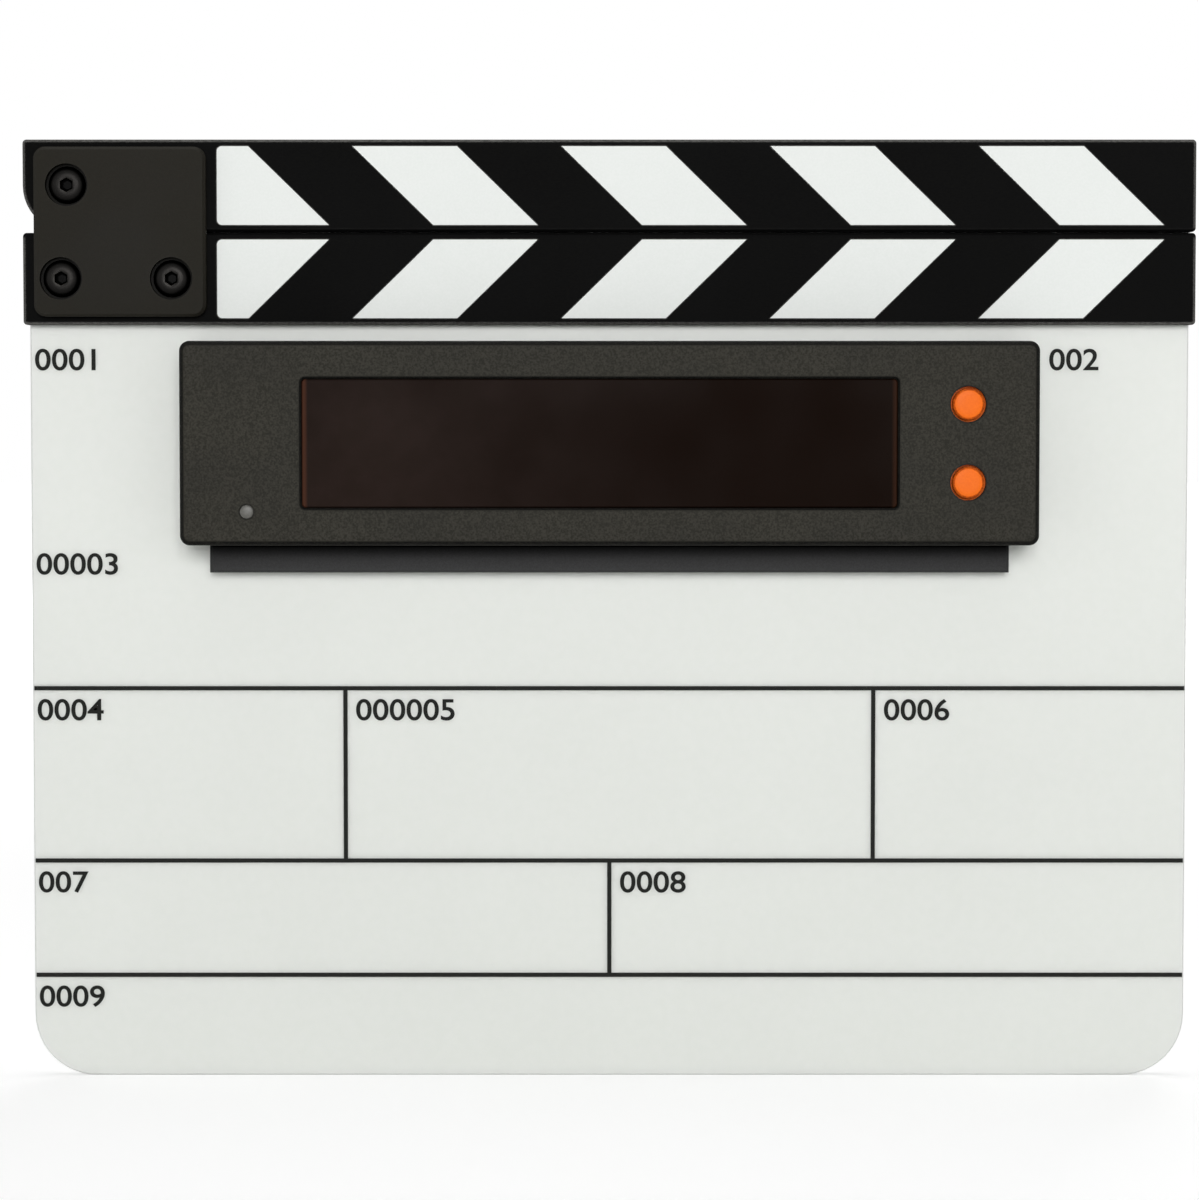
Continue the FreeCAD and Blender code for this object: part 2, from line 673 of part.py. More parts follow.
def build_hinge_plate(label, rear):
    """A square plate over the seam; its counterbores are on the side away from the sticks."""
    place = f"{STICK_FACE} + plate_thickness" if rear else f"-{STICK_FACE}"
    outer = "0" if rear else "plate_thickness"
    body = new_body(label, x=PLATE_X, y=place, z=SEAM)
    outline = new_sketch(body, "plate_outline")
    add_rectangle(outline, "plate_width", "plate_height")
    blank = pad(body, outline, "plate_thickness")
    rounded = fillet(body, "plate_corners", blank, runs_along(ALONG_Y), "plate_corner_radius")
    chamfer(body, "plate_edges", rounded, lies_at(f"-{outer}"), "plate_edge")
    spots = [
        (f"{PIVOT_X} - {PLATE_X}", f"{PIVOT_Z} - {SEAM}"),
        (f"{HINGE_SCREW_X} - {PLATE_X}", f"{LOWER_MID} - {SEAM}"),
        (f"{HINGE_SCREW_X} + {HINGE_SCREW_RUN} - {PLATE_X}", f"{LOWER_MID} - {SEAM}"),
    ]
    holes = new_sketch(body, "plate_holes", out=outer)
    bores = new_sketch(body, "plate_counterbores", out=outer)
    for x, z in spots:
        add_circle(holes, HINGE_HOLE, x, z)
        add_circle(bores, "counterbore_diameter", x, z)
    pocket(body, holes, "plate_thickness", reverse=rear)
    pocket(body, bores, "counterbore_depth", reverse=rear)


def cut_hex_socket(body, out, reverse=False):
    """Cut a hexagon socket into a screw head."""
    half = "(hex_size / 2)"
    corner = "(hex_size / sqrt(3))"
    socket = new_sketch(body, "hex_socket", out=out)
    add_polygon(socket, [
        (f"-{corner} / 2", f"-{half}"),
        (f"{corner} / 2", f"-{half}"),
        (corner, "0"),
        (f"{corner} / 2", half),
        (f"-{corner} / 2", half),
        (f"-{corner}", "0"),
    ])
    return pocket(body, socket, "hex_depth", reverse=reverse)


def build_hinge_screws(label, x, z, count):
    """Button-head screws, entered from the front."""
    body = new_body(label, x, f"-{STICK_FACE} - {PLATE_FLOOR}", z)
    shank = "(hinge_screw_diameter / 2)"
    head = "(hinge_head_diameter / 2)"
    turned(body, "screw", [
        ("0", "-hinge_head_height"),
        *rounded_rim(head, "-hinge_head_height", "hinge_head_round"),
        (head, "0"),
        (shank, "0"),
        (shank, "hinge_screw_length"),
        ("0", "hinge_screw_length"),
    ])
    cut_hex_socket(body, "hinge_head_height")
    if count > 1:
        repeat(body, "pair", HINGE_SCREW_RUN, count)


def build_hinge_barrels(label, x, z, count):
    """Barrel nuts, entered from behind; the pivot's barrel is the axle of the hinge."""
    body = new_body(label, x, f"{STICK_FACE} + {PLATE_FLOOR}", z)
    shank = "(barrel_diameter / 2)"
    head = "(hinge_head_diameter / 2)"
    bore = "(hinge_screw_diameter / 2 + thread_clearance)"
    end = f"(-{BARREL_LENGTH})"
    turned(body, "barrel", [
        ("0", "hinge_head_height"),
        *rounded_rim(head, "hinge_head_height", "hinge_head_round", inward="-"),
        (head, "0"),
        (shank, "0"),
        (shank, end),
        (bore, end),
        (bore, "-barrel_end_wall"),
        ("0", "-barrel_end_wall"),
    ])
    cut_hex_socket(body, "-hinge_head_height", reverse=True)
    if count > 1:
        repeat(body, "pair", HINGE_SCREW_RUN, count)


def build_pivot():
    bush = new_body("pivot_bush", PIVOT_X, f"-upper_stick_thickness / 2 + {WASHER_RECESS}", PIVOT_Z)
    inner, outer = f"({BUSH_BORE} / 2)", f"({BUSH_OUTER} / 2)"
    long = f"(upper_stick_thickness - 2 * {WASHER_RECESS})"
    turned(bush, "bush", [(inner, "0"), (outer, "0"), (outer, long), (inner, long)])
    washers = new_body("pivot_washers", PIVOT_X, "-upper_stick_thickness / 2 - washer_stand", PIVOT_Z)
    rim = "(washer_diameter / 2)"
    turned(washers, "washer", [
        (inner, "0"),
        (rim, "0"),
        (rim, "washer_thickness"),
        (inner, "washer_thickness"),
    ])
    apart = "upper_stick_thickness + 2 * washer_stand - washer_thickness"
    repeat(washers, "washer_pair", apart, 2, axis="Y_Axis")


def countersunk_screw(body, head, shank, reach):
    """A screw driven forwards, with its flat head at the body's origin."""
    wide = f"({head} / 2 - hole_clearance)"
    slim = f"({shank} / 2)"
    return turned(body, "screw", [
        ("0", "0"),
        (wide, "0"),
        (slim, f"-({wide} - {slim})"),
        (slim, f"-({reach})"),
        ("0", f"-({reach})"),
    ])


def build_stick_screws():
    body = new_body("stick_screws", STICK_SCREW_X, STICK_FACE, LOWER_MID)
    countersunk_screw(body, "stick_screw_head", "stick_screw_diameter", STICK_SCREW_REACH)
    repeat(body, "row", STICK_SCREW_RUN, STICK_SCREWS)


def build_bracket():
    body = new_body("display_bracket", y=f"-{BOARD_FACE}", z=f"{DISPLAY_BASE} - ledge_height")
    profile = new_sketch(body, "bracket_profile", "YZ_Plane")
    add_polygon(profile, [
        ("0", "0"),
        ("0", BRACKET_TOP),
        ("-bracket_flange", BRACKET_TOP),
        ("-bracket_flange", "ledge_height"),
        ("-ledge_depth", "ledge_height"),
        ("-ledge_depth", "0"),
    ])
    angle = pad(body, profile, BRACKET_WIDTH, symmetric=True)
    chamfer(body, "ledge_edges", angle, lies_at("-ledge_depth"), "ledge_edge")
    middle = "ledge_height + display_height / 2"
    screw_holes = new_sketch(body, "bracket_screw_holes", y=middle)
    for side in ("-", ""):
        add_circle(screw_holes, "display_screw_diameter + 2 * hole_clearance", f"{side}{DISPLAY_SCREW_X}")
        for level in ("-", ""):
            add_circle(screw_holes, "bracket_screw_diameter + 2 * thread_clearance",
                       f"{side}{BRACKET_SCREW_X}", f"{level}{BRACKET_SCREW_Z}")
    pocket(body, screw_holes, "bracket_flange", reverse=True)


def build_mount_screws():
    bracket = new_body("bracket_screws", f"-{BRACKET_SCREW_X}", BOARD_FACE,
                       f"{DISPLAY_MID} - {BRACKET_SCREW_Z}")
    countersunk_screw(bracket, "bracket_screw_head", "bracket_screw_diameter",
                      "board_thickness + bracket_flange - screw_tip_gap")
    repeat(bracket, "across", f"2 * {BRACKET_SCREW_X}", 2)
    repeat(bracket, "up", f"2 * {BRACKET_SCREW_Z}", 2, axis="Z_Axis")
    display = new_body("display_screws", f"-{DISPLAY_SCREW_X}", BOARD_FACE, DISPLAY_MID)
    countersunk_screw(display, "display_screw_head", "display_screw_diameter",
                      "board_thickness + bracket_flange + insert_length - screw_tip_gap")
    repeat(display, "across", f"2 * {DISPLAY_SCREW_X}", 2)


def display_body(label, x="0", y="0", z="0"):
    """Start a piece of the display: its origin is on the rear face, at the middle."""
    return new_body(label, x, f"{DISPLAY_REAR} + {y}", f"{DISPLAY_MID} + {z}")


def corner_spots(x, z):
    return [(f"{across}{x}", f"{up}{z}") for across in ("-", "") for up in ("-", "")]


def post_spots():
    return [(f"{WINDOW_X} {across} {POST_REACH}", f"{up}{POST_Z}")
            for across in "-+" for up in ("-", "")]


def button_spots():
    return [(BUTTON_X, "button_spacing / 2"), (BUTTON_X, "-button_spacing / 2")]


def build_front_shell():
    body = display_body("display_front_shell")
    outline = new_sketch(body, "shell_outline", out="cover_thickness")
    add_rectangle(outline, "display_width", "display_height")
    block = pad(body, outline, "display_depth - cover_thickness")
    rounded = fillet(body, "shell_corners", block, runs_along(ALONG_Y), "display_corner_radius")
    fillet(body, "shell_front", rounded, lies_at("-display_depth"), "display_front_round")
    hollow = new_sketch(body, "shell_hollow", out="cover_thickness")
    add_rectangle(hollow, "display_width - 2 * shell_wall", "display_height - 2 * shell_wall")
    pocket(body, hollow, "display_depth - cover_thickness - front_wall", reverse=True)
    bosses = new_sketch(body, "cover_bosses", out="cover_thickness")
    for x, z in corner_spots(COVER_BOSS_X, COVER_BOSS_Z):
        add_circle(bosses, "cover_boss_diameter", x, z)
    pad(body, bosses, "display_depth - cover_thickness - front_wall / 2")
    posts = new_sketch(body, "circuit_posts", out=CIRCUIT_FRONT)
    for x, z in post_spots():
        add_circle(posts, "circuit_post_diameter", x, z)
    pad(body, posts, f"display_depth - front_wall / 2 - {CIRCUIT_FRONT}")
    boss_holes = new_sketch(body, "boss_holes", out="cover_thickness")
    for x, z in corner_spots(COVER_BOSS_X, COVER_BOSS_Z):
        add_circle(boss_holes, "cover_screw_diameter + 2 * thread_clearance", x, z)
    pocket(body, boss_holes, "cover_screw_length - cover_thickness + screw_tip_gap", reverse=True)
    post_holes = new_sketch(body, "post_holes", out=CIRCUIT_FRONT)
    for x, z in post_spots():
        add_circle(post_holes, "circuit_screw_diameter + 2 * thread_clearance", x, z)
    pocket(body, post_holes, "circuit_screw_bite + screw_tip_gap", reverse=True)
    opening = new_sketch(body, "window_opening", x=WINDOW_X, out="display_depth")
    add_rectangle(opening, WINDOW_WIDTH, "window_height")
    opened = pocket(body, opening, "front_wall")
    in_opening = lies_within(WINDOW_X, WINDOW_WIDTH, "window_height")
    in_front_wall = lambda edge: edge.BoundBox.YMax < -value(SHELL_FRONT) + NEAR
    softened = fillet(body, "window_corners", opened,
                      both(in_opening, in_front_wall, runs_along(ALONG_Y)), "window_corner_radius")
    chamfer(body, "window_edges", softened, both(in_opening, lies_at("-display_depth")), "window_edge")
    holes = new_sketch(body, "button_holes", out="display_depth")
    for x, z in button_spots():
        add_circle(holes, "button_diameter + 2 * button_gap", x, z)
    add_circle(holes, "lens_diameter + 2 * lens_clearance", LENS_X, LENS_Z)
    pocket(body, holes, "front_wall")
    slot = new_sketch(body, "socket_slot", "YZ_Plane", x=f"-{CIRCUIT_FRONT} - socket_height / 2",
                      out="display_width / 2")
    add_stadium(slot, "socket_height + 2 * socket_gap", "socket_width + 2 * socket_gap")
    pocket(body, slot, "shell_wall + socket_gap")


def build_rear_cover():
    body = display_body("display_rear_cover")
    outline = new_sketch(body, "cover_outline")
    add_rectangle(outline, "display_width", "display_height")
    plate = pad(body, outline, "cover_thickness")
    rounded = fillet(body, "cover_corners", plate, runs_along(ALONG_Y), "display_corner_radius")
    chamfer(body, "cover_edges", rounded, lies_at("0"), "cover_edge")
    gap = "(shell_wall + lip_clearance)"
    lip = new_sketch(body, "cover_lip", out="cover_thickness")
    for inset in (gap, f"({gap} + lip_wall)"):
        add_rectangle(lip, f"display_width - 2 * {inset}", f"display_height - 2 * {inset}")
    pad(body, lip, "lip_height")
    relief = new_sketch(body, "lip_relief", out="cover_thickness + lip_height")
    for x, z in corner_spots(COVER_BOSS_X, COVER_BOSS_Z):
        add_circle(relief, "cover_boss_diameter + 2 * lip_clearance", x, z)
    pocket(body, relief, "lip_height")
    bosses = new_sketch(body, "insert_bosses", out="cover_thickness / 2")
    for side in ("-", ""):
        add_circle(bosses, "insert_boss_diameter", f"{side}{DISPLAY_SCREW_X}")
    pad(body, bosses, "insert_boss_height + cover_thickness / 2")
    seats = new_sketch(body, "insert_seats")
    for side in ("-", ""):
        add_circle(seats, "insert_diameter + 2 * bush_seat", f"{side}{DISPLAY_SCREW_X}")
    pocket(body, seats, "insert_length", reverse=True)
    hole = "(cover_screw_diameter + 2 * hole_clearance)"
    holes = new_sketch(body, "cover_holes")
    for x, z in corner_spots(COVER_BOSS_X, COVER_BOSS_Z):
        add_circle(holes, hole, x, z)
    drilled = pocket(body, holes, "cover_thickness", reverse=True)
    chamfer(body, "cover_sinks", drilled, both(is_circle(hole), lies_at("0")),
            f"(cover_screw_head - {hole}) / 2")


def build_cover_screws():
    screws = display_body("cover_screws", x=f"-{COVER_BOSS_X}", z=f"-{COVER_BOSS_Z}")
    countersunk_screw(screws, "cover_screw_head", "cover_screw_diameter", "cover_screw_length")
    repeat(screws, "across", f"2 * {COVER_BOSS_X}", 2)
    repeat(screws, "up", f"2 * {COVER_BOSS_Z}", 2, axis="Z_Axis")
    inserts = display_body("display_inserts", x=f"-{DISPLAY_SCREW_X}")
    inner, outer = "(display_screw_diameter / 2 + thread_clearance)", "(insert_diameter / 2)"
    turned(inserts, "insert", [
        (inner, "0"),
        (outer, "0"),
        (outer, "-insert_length"),
        (inner, "-insert_length"),
    ])
    repeat(inserts, "across", f"2 * {DISPLAY_SCREW_X}", 2)


def build_window():
    body = display_body("display_window", x=WINDOW_X,
                        y=f"-({SHELL_FRONT} - seal_thickness - window_flange)")
    wide, tall = f"{WINDOW_WIDTH} + 2 * window_margin", "window_height + 2 * window_margin"
    flange = new_sketch(body, "window_flange")
    add_rectangle(flange, wide, tall)
    pad(body, flange, "window_flange")
    pane = new_sketch(body, "window_pane", out="window_flange / 2")
    add_rectangle(pane, f"{WINDOW_WIDTH} - 2 * window_clearance", "window_height - 2 * window_clearance")
    thick = "(window_flange + seal_thickness + front_wall - window_recess)"
    raised = pad(body, pane, f"{thick} - window_flange / 2")
    in_pane = lies_within("0", WINDOW_WIDTH, "window_height")
    rounded = fillet(body, "pane_corners", raised, both(runs_along(ALONG_Y), in_pane),
                     "window_corner_radius")
    chamfer(body, "pane_edges", rounded, lies_at(f"-{thick}"), "window_edge / 2")
    seal = display_body("window_seal", x=WINDOW_X, y=f"-({SHELL_FRONT} - seal_thickness)")
    frame = new_sketch(seal, "seal_frame")
    add_rectangle(frame, wide, tall)
    add_rectangle(frame, WINDOW_WIDTH, "window_height")
    pad(seal, frame, "seal_thickness")


def build_digits():
    """Two-figure modules; each figure has seven bars sunk in the face."""
    row = f"({DIGIT_MODULES} - 1) * {DIGIT_PITCH}"
    body = display_body("digit_modules", x=f"{WINDOW_X} - {row} / 2", y=f"-{CIRCUIT_FRONT}")
    block = new_sketch(body, "digit_block")
    add_rectangle(block, DIGIT_WIDTH, DIGIT_HEIGHT)
    pad(body, block, "digit_depth")
    bars = new_sketch(body, "digit_bars", out="digit_depth")
    for side in ("-", "+"):
        middle = f"0 {side} {DIGIT_WIDTH} / 4"
        for level in (f"-{FIGURE_HEIGHT} / 2", "0", f"{FIGURE_HEIGHT} / 2"):
            add_rectangle(bars, f"{FIGURE_WIDTH} - 2 * segment_width", "segment_width", middle, level)
        for across in ("-", "+"):
            for level in (f"-{FIGURE_HEIGHT} / 4", f"{FIGURE_HEIGHT} / 4"):
                add_rectangle(bars, "segment_width", f"{FIGURE_HEIGHT} / 2 - segment_width - segment_gap",
                              f"{middle} {across} {FIGURE_WIDTH} / 2", level)
    pocket(body, bars, "segment_depth")
    repeat(body, "module_row", row, DIGIT_MODULES)


def build_circuit():
    body = display_body("circuit_board", y=f"-{CIRCUIT_REAR}")
    outline = new_sketch(body, "circuit_outline")
    add_rectangle(outline, CIRCUIT_LENGTH, CIRCUIT_HEIGHT)
    pad(body, outline, "circuit_thickness")
    start = f"({CIRCUIT_LENGTH} / 2 - socket_length)"
    end = "(display_width / 2 - shell_wall - lip_clearance)"
    tab = new_sketch(body, "socket_tab", x=f"({start} + {end}) / 2")
    add_rectangle(tab, f"{end} - {start}", "socket_width + 2 * socket_tab_margin")
    pad(body, tab, "circuit_thickness")
    holes = new_sketch(body, "circuit_holes", out="circuit_thickness")
    for x, z in post_spots():
        add_circle(holes, "circuit_screw_diameter + 2 * hole_clearance", x, z)
    pocket(body, holes, "circuit_thickness")
    screws = display_body("circuit_screws", x=f"{WINDOW_X} - {POST_REACH}", y=f"-{CIRCUIT_REAR}",
                          z=f"-{POST_Z}")
    head, shank = "(circuit_screw_head / 2)", "(circuit_screw_diameter / 2)"
    tip = "(-circuit_thickness - circuit_screw_bite)"
    turned(screws, "screw", [
        ("0", "circuit_screw_head_height"),
        (head, "circuit_screw_head_height"),
        (head, "0"),
        (shank, "0"),
        (shank, tip),
        ("0", tip),
    ])
    repeat(screws, "across", f"2 * {POST_REACH}", 2)
    repeat(screws, "up", f"2 * {POST_Z}", 2, axis="Z_Axis")


def build_button(name, z):
    """An orange cap kept behind the front wall by its flange, on the plunger of its switch."""
    cap = display_body(f"{name}_button", x=BUTTON_X, y=f"-{SHELL_FRONT}", z=z)
    rim, skirt, stem = "(button_diameter / 2)", "(button_flange / 2)", "(button_stem / 2)"
    top = "(-front_wall - button_proud)"
    under = "(button_rest_gap + button_flange_thickness)"
    foot = f"({SHELL_FRONT} - {PLUNGER_TOP})"
    turned(cap, "cap", [
        ("0", top),
        *rounded_rim(rim, top, "button_round"),
        (rim, "button_rest_gap"),
        (skirt, "button_rest_gap"),
        (skirt, under),
        (stem, under),
        (stem, foot),
        ("0", foot),
    ])
    plunger = display_body(f"{name}_plunger", x=BUTTON_X, y=f"-{PLUNGER_TOP}", z=z)
    reach = "(plunger_stand + plunger_engage)"
    turned(plunger, "plunger", [("0", "0"), (stem, "0"), (stem, reach), ("0", reach)])


def build_switches():
    body = display_body("button_switches", x=BUTTON_X, y=f"-{CIRCUIT_FRONT}", z="-button_spacing / 2")
    block = new_sketch(body, "switch_block")
    add_rectangle(block, "switch_width", "switch_width")
    pad(body, block, "switch_height")
    well = new_sketch(body, "switch_well", out="switch_height")
    add_circle(well, "button_stem + 2 * plunger_clearance")
    pocket(body, well, "switch_height - switch_floor")
    repeat(body, "switch_pair", "button_spacing", 2, axis="Z_Axis")


def build_lens():
    body = display_body("sensor_lens", x=LENS_X, y=f"-{SHELL_FRONT}", z=LENS_Z)
    rod, rim = "(lens_diameter / 2)", "(lens_flange / 2)"
    foot = f"({SHELL_FRONT} - {CIRCUIT_FRONT} - sensor_height)"
    turned(body, "lens", [
        ("0", "-front_wall"),
        (rod, "-front_wall"),
        (rod, "0"),
        (rim, "0"),
        (rim, "lens_flange_thickness"),
        (rod, "lens_flange_thickness"),
        (rod, foot),
        ("0", foot),
    ])
    sensor = display_body("light_sensor", x=LENS_X, y=f"-{CIRCUIT_FRONT}", z=LENS_Z)
    chip = new_sketch(sensor, "sensor_chip")
    add_rectangle(chip, "sensor_width", "sensor_width")
    pad(sensor, chip, "sensor_height")


def build_battery():
    body = display_body("battery_cell", y="-cover_thickness")
    outline = new_sketch(body, "cell_outline")
    between_bosses = f"2 * {DISPLAY_SCREW_X} - insert_boss_diameter"
    add_rectangle(outline, f"{between_bosses} - 2 * battery_end_gap", "battery_height")
    block = pad(body, outline, "battery_thickness")
    fillet(body, "cell_edges", block, runs_along(ALONG_X), "battery_round")


def build_socket():
    """Charging socket on the circuit board's tab, with its mouth in the slot of the shell."""
    mouth = "(display_width / 2 - socket_inset)"
    body = display_body("charging_socket", x=f"{mouth} - socket_length",
                        y=f"-{CIRCUIT_FRONT} - socket_height / 2")
    shell = new_sketch(body, "socket_shell", "YZ_Plane")
    add_stadium(shell, "socket_height", "socket_width")
    pad(body, shell, "socket_length")
    hollow = new_sketch(body, "socket_hollow", "YZ_Plane", out="socket_length")
    add_stadium(hollow, "socket_height - 2 * socket_wall", "socket_width - 2 * socket_wall")
    pocket(body, hollow, "socket_length - socket_back")
    tongue = new_sketch(body, "socket_tongue", "YZ_Plane", out="socket_back / 2")
    add_rectangle(tongue, "socket_tongue", "socket_width - socket_height")
    pad(body, tongue, "socket_length - socket_back / 2 - socket_tongue_inset")


build_board()
build_ruled_lines()
build_lower_stick()
build_upper_stick()
build_stripe_inlays()
build_hinge_plate("hinge_plate_front", rear=False)
build_hinge_plate("hinge_plate_rear", rear=True)
build_hinge_screws("pivot_screw", PIVOT_X, PIVOT_Z, 1)
build_hinge_screws("hinge_screws", HINGE_SCREW_X, LOWER_MID, 2)
build_hinge_barrels("pivot_barrel", PIVOT_X, PIVOT_Z, 1)
build_hinge_barrels("hinge_barrels", HINGE_SCREW_X, LOWER_MID, 2)
build_pivot()
build_stick_screws()
build_bracket()
build_mount_screws()
build_front_shell()
build_rear_cover()
build_cover_screws()
build_window()
build_digits()
build_circuit()
build_button("upper", "button_spacing / 2")
build_button("lower", "-button_spacing / 2")
build_switches()
build_lens()
build_battery()
build_socket()
doc.recompute()

for item in doc.Objects:
    if {"Invalid", "Error"} & set(item.State):
        raise RuntimeError(f"{item.Label} failed: {item.State}")
for part in parts:
    if part.Shape.isNull() or not part.Shape.isValid() or not part.Shape.Solids:
        raise RuntimeError(f"{part.Label} has no valid solid")

os.makedirs("parts", exist_ok=True)
for part in parts:
    part.Shape.exportStep(f"parts/{part.Label}.step")
    print(f"{part.Label}: {len(part.Shape.Solids)} solids, {part.Shape.Volume:.1f} mm3")
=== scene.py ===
"""Dresses a film slate: white board, striped clapsticks, hinge, bracket and time display.

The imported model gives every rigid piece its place. This script gives each piece its finish,
models the screws, buttons, lens, contacts and printed numbers, and sets up the studio.
"""

import logging
import math
from collections import defaultdict
from collections.abc import Callable, Sequence
from dataclasses import dataclass
from enum import Enum
from functools import cache

import bmesh
import bpy
from mathutils import Color, Matrix, Vector


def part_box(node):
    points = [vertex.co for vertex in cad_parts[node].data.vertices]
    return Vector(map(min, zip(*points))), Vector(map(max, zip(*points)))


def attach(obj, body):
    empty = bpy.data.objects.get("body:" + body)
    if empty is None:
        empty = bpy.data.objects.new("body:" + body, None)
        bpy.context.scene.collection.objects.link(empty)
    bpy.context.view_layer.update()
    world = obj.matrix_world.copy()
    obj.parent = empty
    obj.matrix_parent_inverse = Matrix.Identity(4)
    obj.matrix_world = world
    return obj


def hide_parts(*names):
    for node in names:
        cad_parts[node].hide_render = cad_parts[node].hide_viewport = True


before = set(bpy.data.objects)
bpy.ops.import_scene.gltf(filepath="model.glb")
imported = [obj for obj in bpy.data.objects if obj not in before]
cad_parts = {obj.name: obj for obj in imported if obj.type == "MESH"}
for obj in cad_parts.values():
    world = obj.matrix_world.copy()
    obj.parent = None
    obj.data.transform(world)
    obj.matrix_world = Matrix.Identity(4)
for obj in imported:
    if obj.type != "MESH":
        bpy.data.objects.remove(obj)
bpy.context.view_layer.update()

log = logging.getLogger("slate")

Colour = tuple[float, float, float, float]
Box = tuple[Vector, Vector]
Ring = tuple[float, float]
Piece = bpy.types.Object
Node = bpy.types.Node
Socket = bpy.types.NodeSocket
NodeTree = bpy.types.NodeTree
Sources = dict[str | int, object]

SLATE_BODY = "slate"
MM = 0.001
FULL_LEVEL = 255
BLACK: Colour = (0.0, 0.0, 0.0, 1.0)
WHITE: Colour = (1.0, 1.0, 1.0, 1.0)

# Limits and steps of the modelling
SAME_PLACE = 1e-6
SAME_SIZE = 1e-6
SAME_WAY = 0.9
QUARTER_TURN = math.pi / 2
SMOOTH_ANGLE = math.radians(32)
EASED_ANGLE = math.radians(40)
EASED_SEGMENTS = 2
TURNED_SIDES = 64
ROUND_STEPS = 8
CROWN_STEPS = 4
HEX_SIDES = 6

# How the shared effects read noise, edges and hollows
GRAIN_LAYERS = 3.0
GRAIN_RANGE = (0.34, 0.66)
PATCH_LAYERS = 2.0
PATCH_RANGE = (0.25, 0.75)
PATCH_MIDDLE = 0.5
EDGE_SAMPLES = 4
SHARP_RANGE = (0.005, 0.12)
ROUNDED_RANGE = (0.004, 0.1)
BROKEN_RANGE = (0.0, 0.9)
BROKEN_SHARES = (0.55, 1.0)
HOLLOW_SAMPLES = 16
HOLLOW_RANGE = (0.45, 0.95)


class Facing(Enum):
    """The side that the outer face of a piece looks to, as the sign of Y."""

    FRONT = -1
    REAR = 1


class Recess(Enum):
    """Drive recess in the head of a screw."""

    HEX = "hex"
    CROSS = "cross"


def srgb(red: int, green: int, blue: int) -> Colour:
    """Turn a screen colour, with levels up to 255, into the linear colour that a shader takes."""
    shares = (red / FULL_LEVEL, green / FULL_LEVEL, blue / FULL_LEVEL)
    return *Color(shares).from_srgb_to_scene_linear(), 1.0


# Shader nodes


class Graph:
    """A shader node tree, with short calls for the nodes that the finishes use.

    Attributes:
        tree: The node tree.
    """

    def __init__(self, tree: NodeTree) -> None:
        """Work on one node tree."""
        self.tree = tree

    def feed(self, node: Node, sources: Sources) -> None:
        """Link outputs to a node's inputs, or set the inputs to plain values.

        Args:
            node: The node.
            sources: An output socket or a value for the name or number of each input.
        """
        for key, source in sources.items():
            if isinstance(source, Socket):
                self.tree.links.new(source, node.inputs[key])
            else:
                node.inputs[key].default_value = source

    def add(self, kind: str, sources: Sources | None = None, **settings: object) -> Node:
        """Add a node.

        Args:
            kind: The node's type name.
            sources: What its inputs are fed with.
            settings: Properties to set on the node.

        Returns:
            The new node.
        """
        node = self.tree.nodes.new(kind)
        for name, value in settings.items():
            setattr(node, name, value)
        self.feed(node, sources or {})
        return node

    def math(self, operation: str, first: object, second: object = 0.0, clamp: bool = False) -> Socket:
        """Apply a Math node's operation to sockets or numbers, kept between 0 and 1 if clamped."""
        sources = {0: first, 1: second}
        return self.add("ShaderNodeMath", sources, operation=operation, use_clamp=clamp).outputs[0]

    def spread(self, value: Socket, low: float, high: float,
               to_low: float = 0.0, to_high: float = 1.0) -> Socket:
        """Map the range from low to high smoothly to the range from to_low to to_high."""
        sources = {"Value": value, "From Min": low, "From Max": high, "To Min": to_low, "To Max": to_high}
        return self.add("ShaderNodeMapRange", sources, interpolation_type="SMOOTHSTEP").outputs["Result"]

    def mix(self, share: Socket, first: object, second: object) -> Socket:
        """Mix two colours, where the share is how much of the second one shows."""
        sources = {"Factor": share, "A": first, "B": second}
        return self.add("ShaderNodeMix", sources, data_type="RGBA").outputs["Result"]

    def noise(self, place: Socket, scale: Socket, layers: float) -> Socket:
        """Give a noise pattern, with its scale in features per metre and its finer layers."""
        sources = {"Vector": place, "Scale": scale, "Detail": layers}
        return self.add("ShaderNodeTexNoise", sources).outputs["Fac"]

    def along(self, axis: str) -> Socket:
        """Read where a point of the piece lies along X, Y or Z, in metres."""
        place = self.add("ShaderNodeTexCoord").outputs["Object"]
        return self.add("ShaderNodeSeparateXYZ", {0: place}).outputs[axis]

    def away(self, place: Socket, middle: float) -> Socket:
        """Give the distance of a place from a middle."""
        return self.math("ABSOLUTE", self.math("SUBTRACT", place, middle))


def new_group(name: str, inputs: dict[str, str], outputs: dict[str, str]) -> Graph:
    """Start a shader node group.

    Args:
        name: The group's name.
        inputs, outputs: The kind of each named socket.

    Returns:
        The group's nodes.
    """
    graph = Graph(bpy.data.node_groups.new(name, "ShaderNodeTree"))
    for side, sockets in (("INPUT", inputs), ("OUTPUT", outputs)):
        for socket, kind in sockets.items():
            graph.tree.interface.new_socket(socket, in_out=side, socket_type=f"NodeSocket{kind}")
    return graph


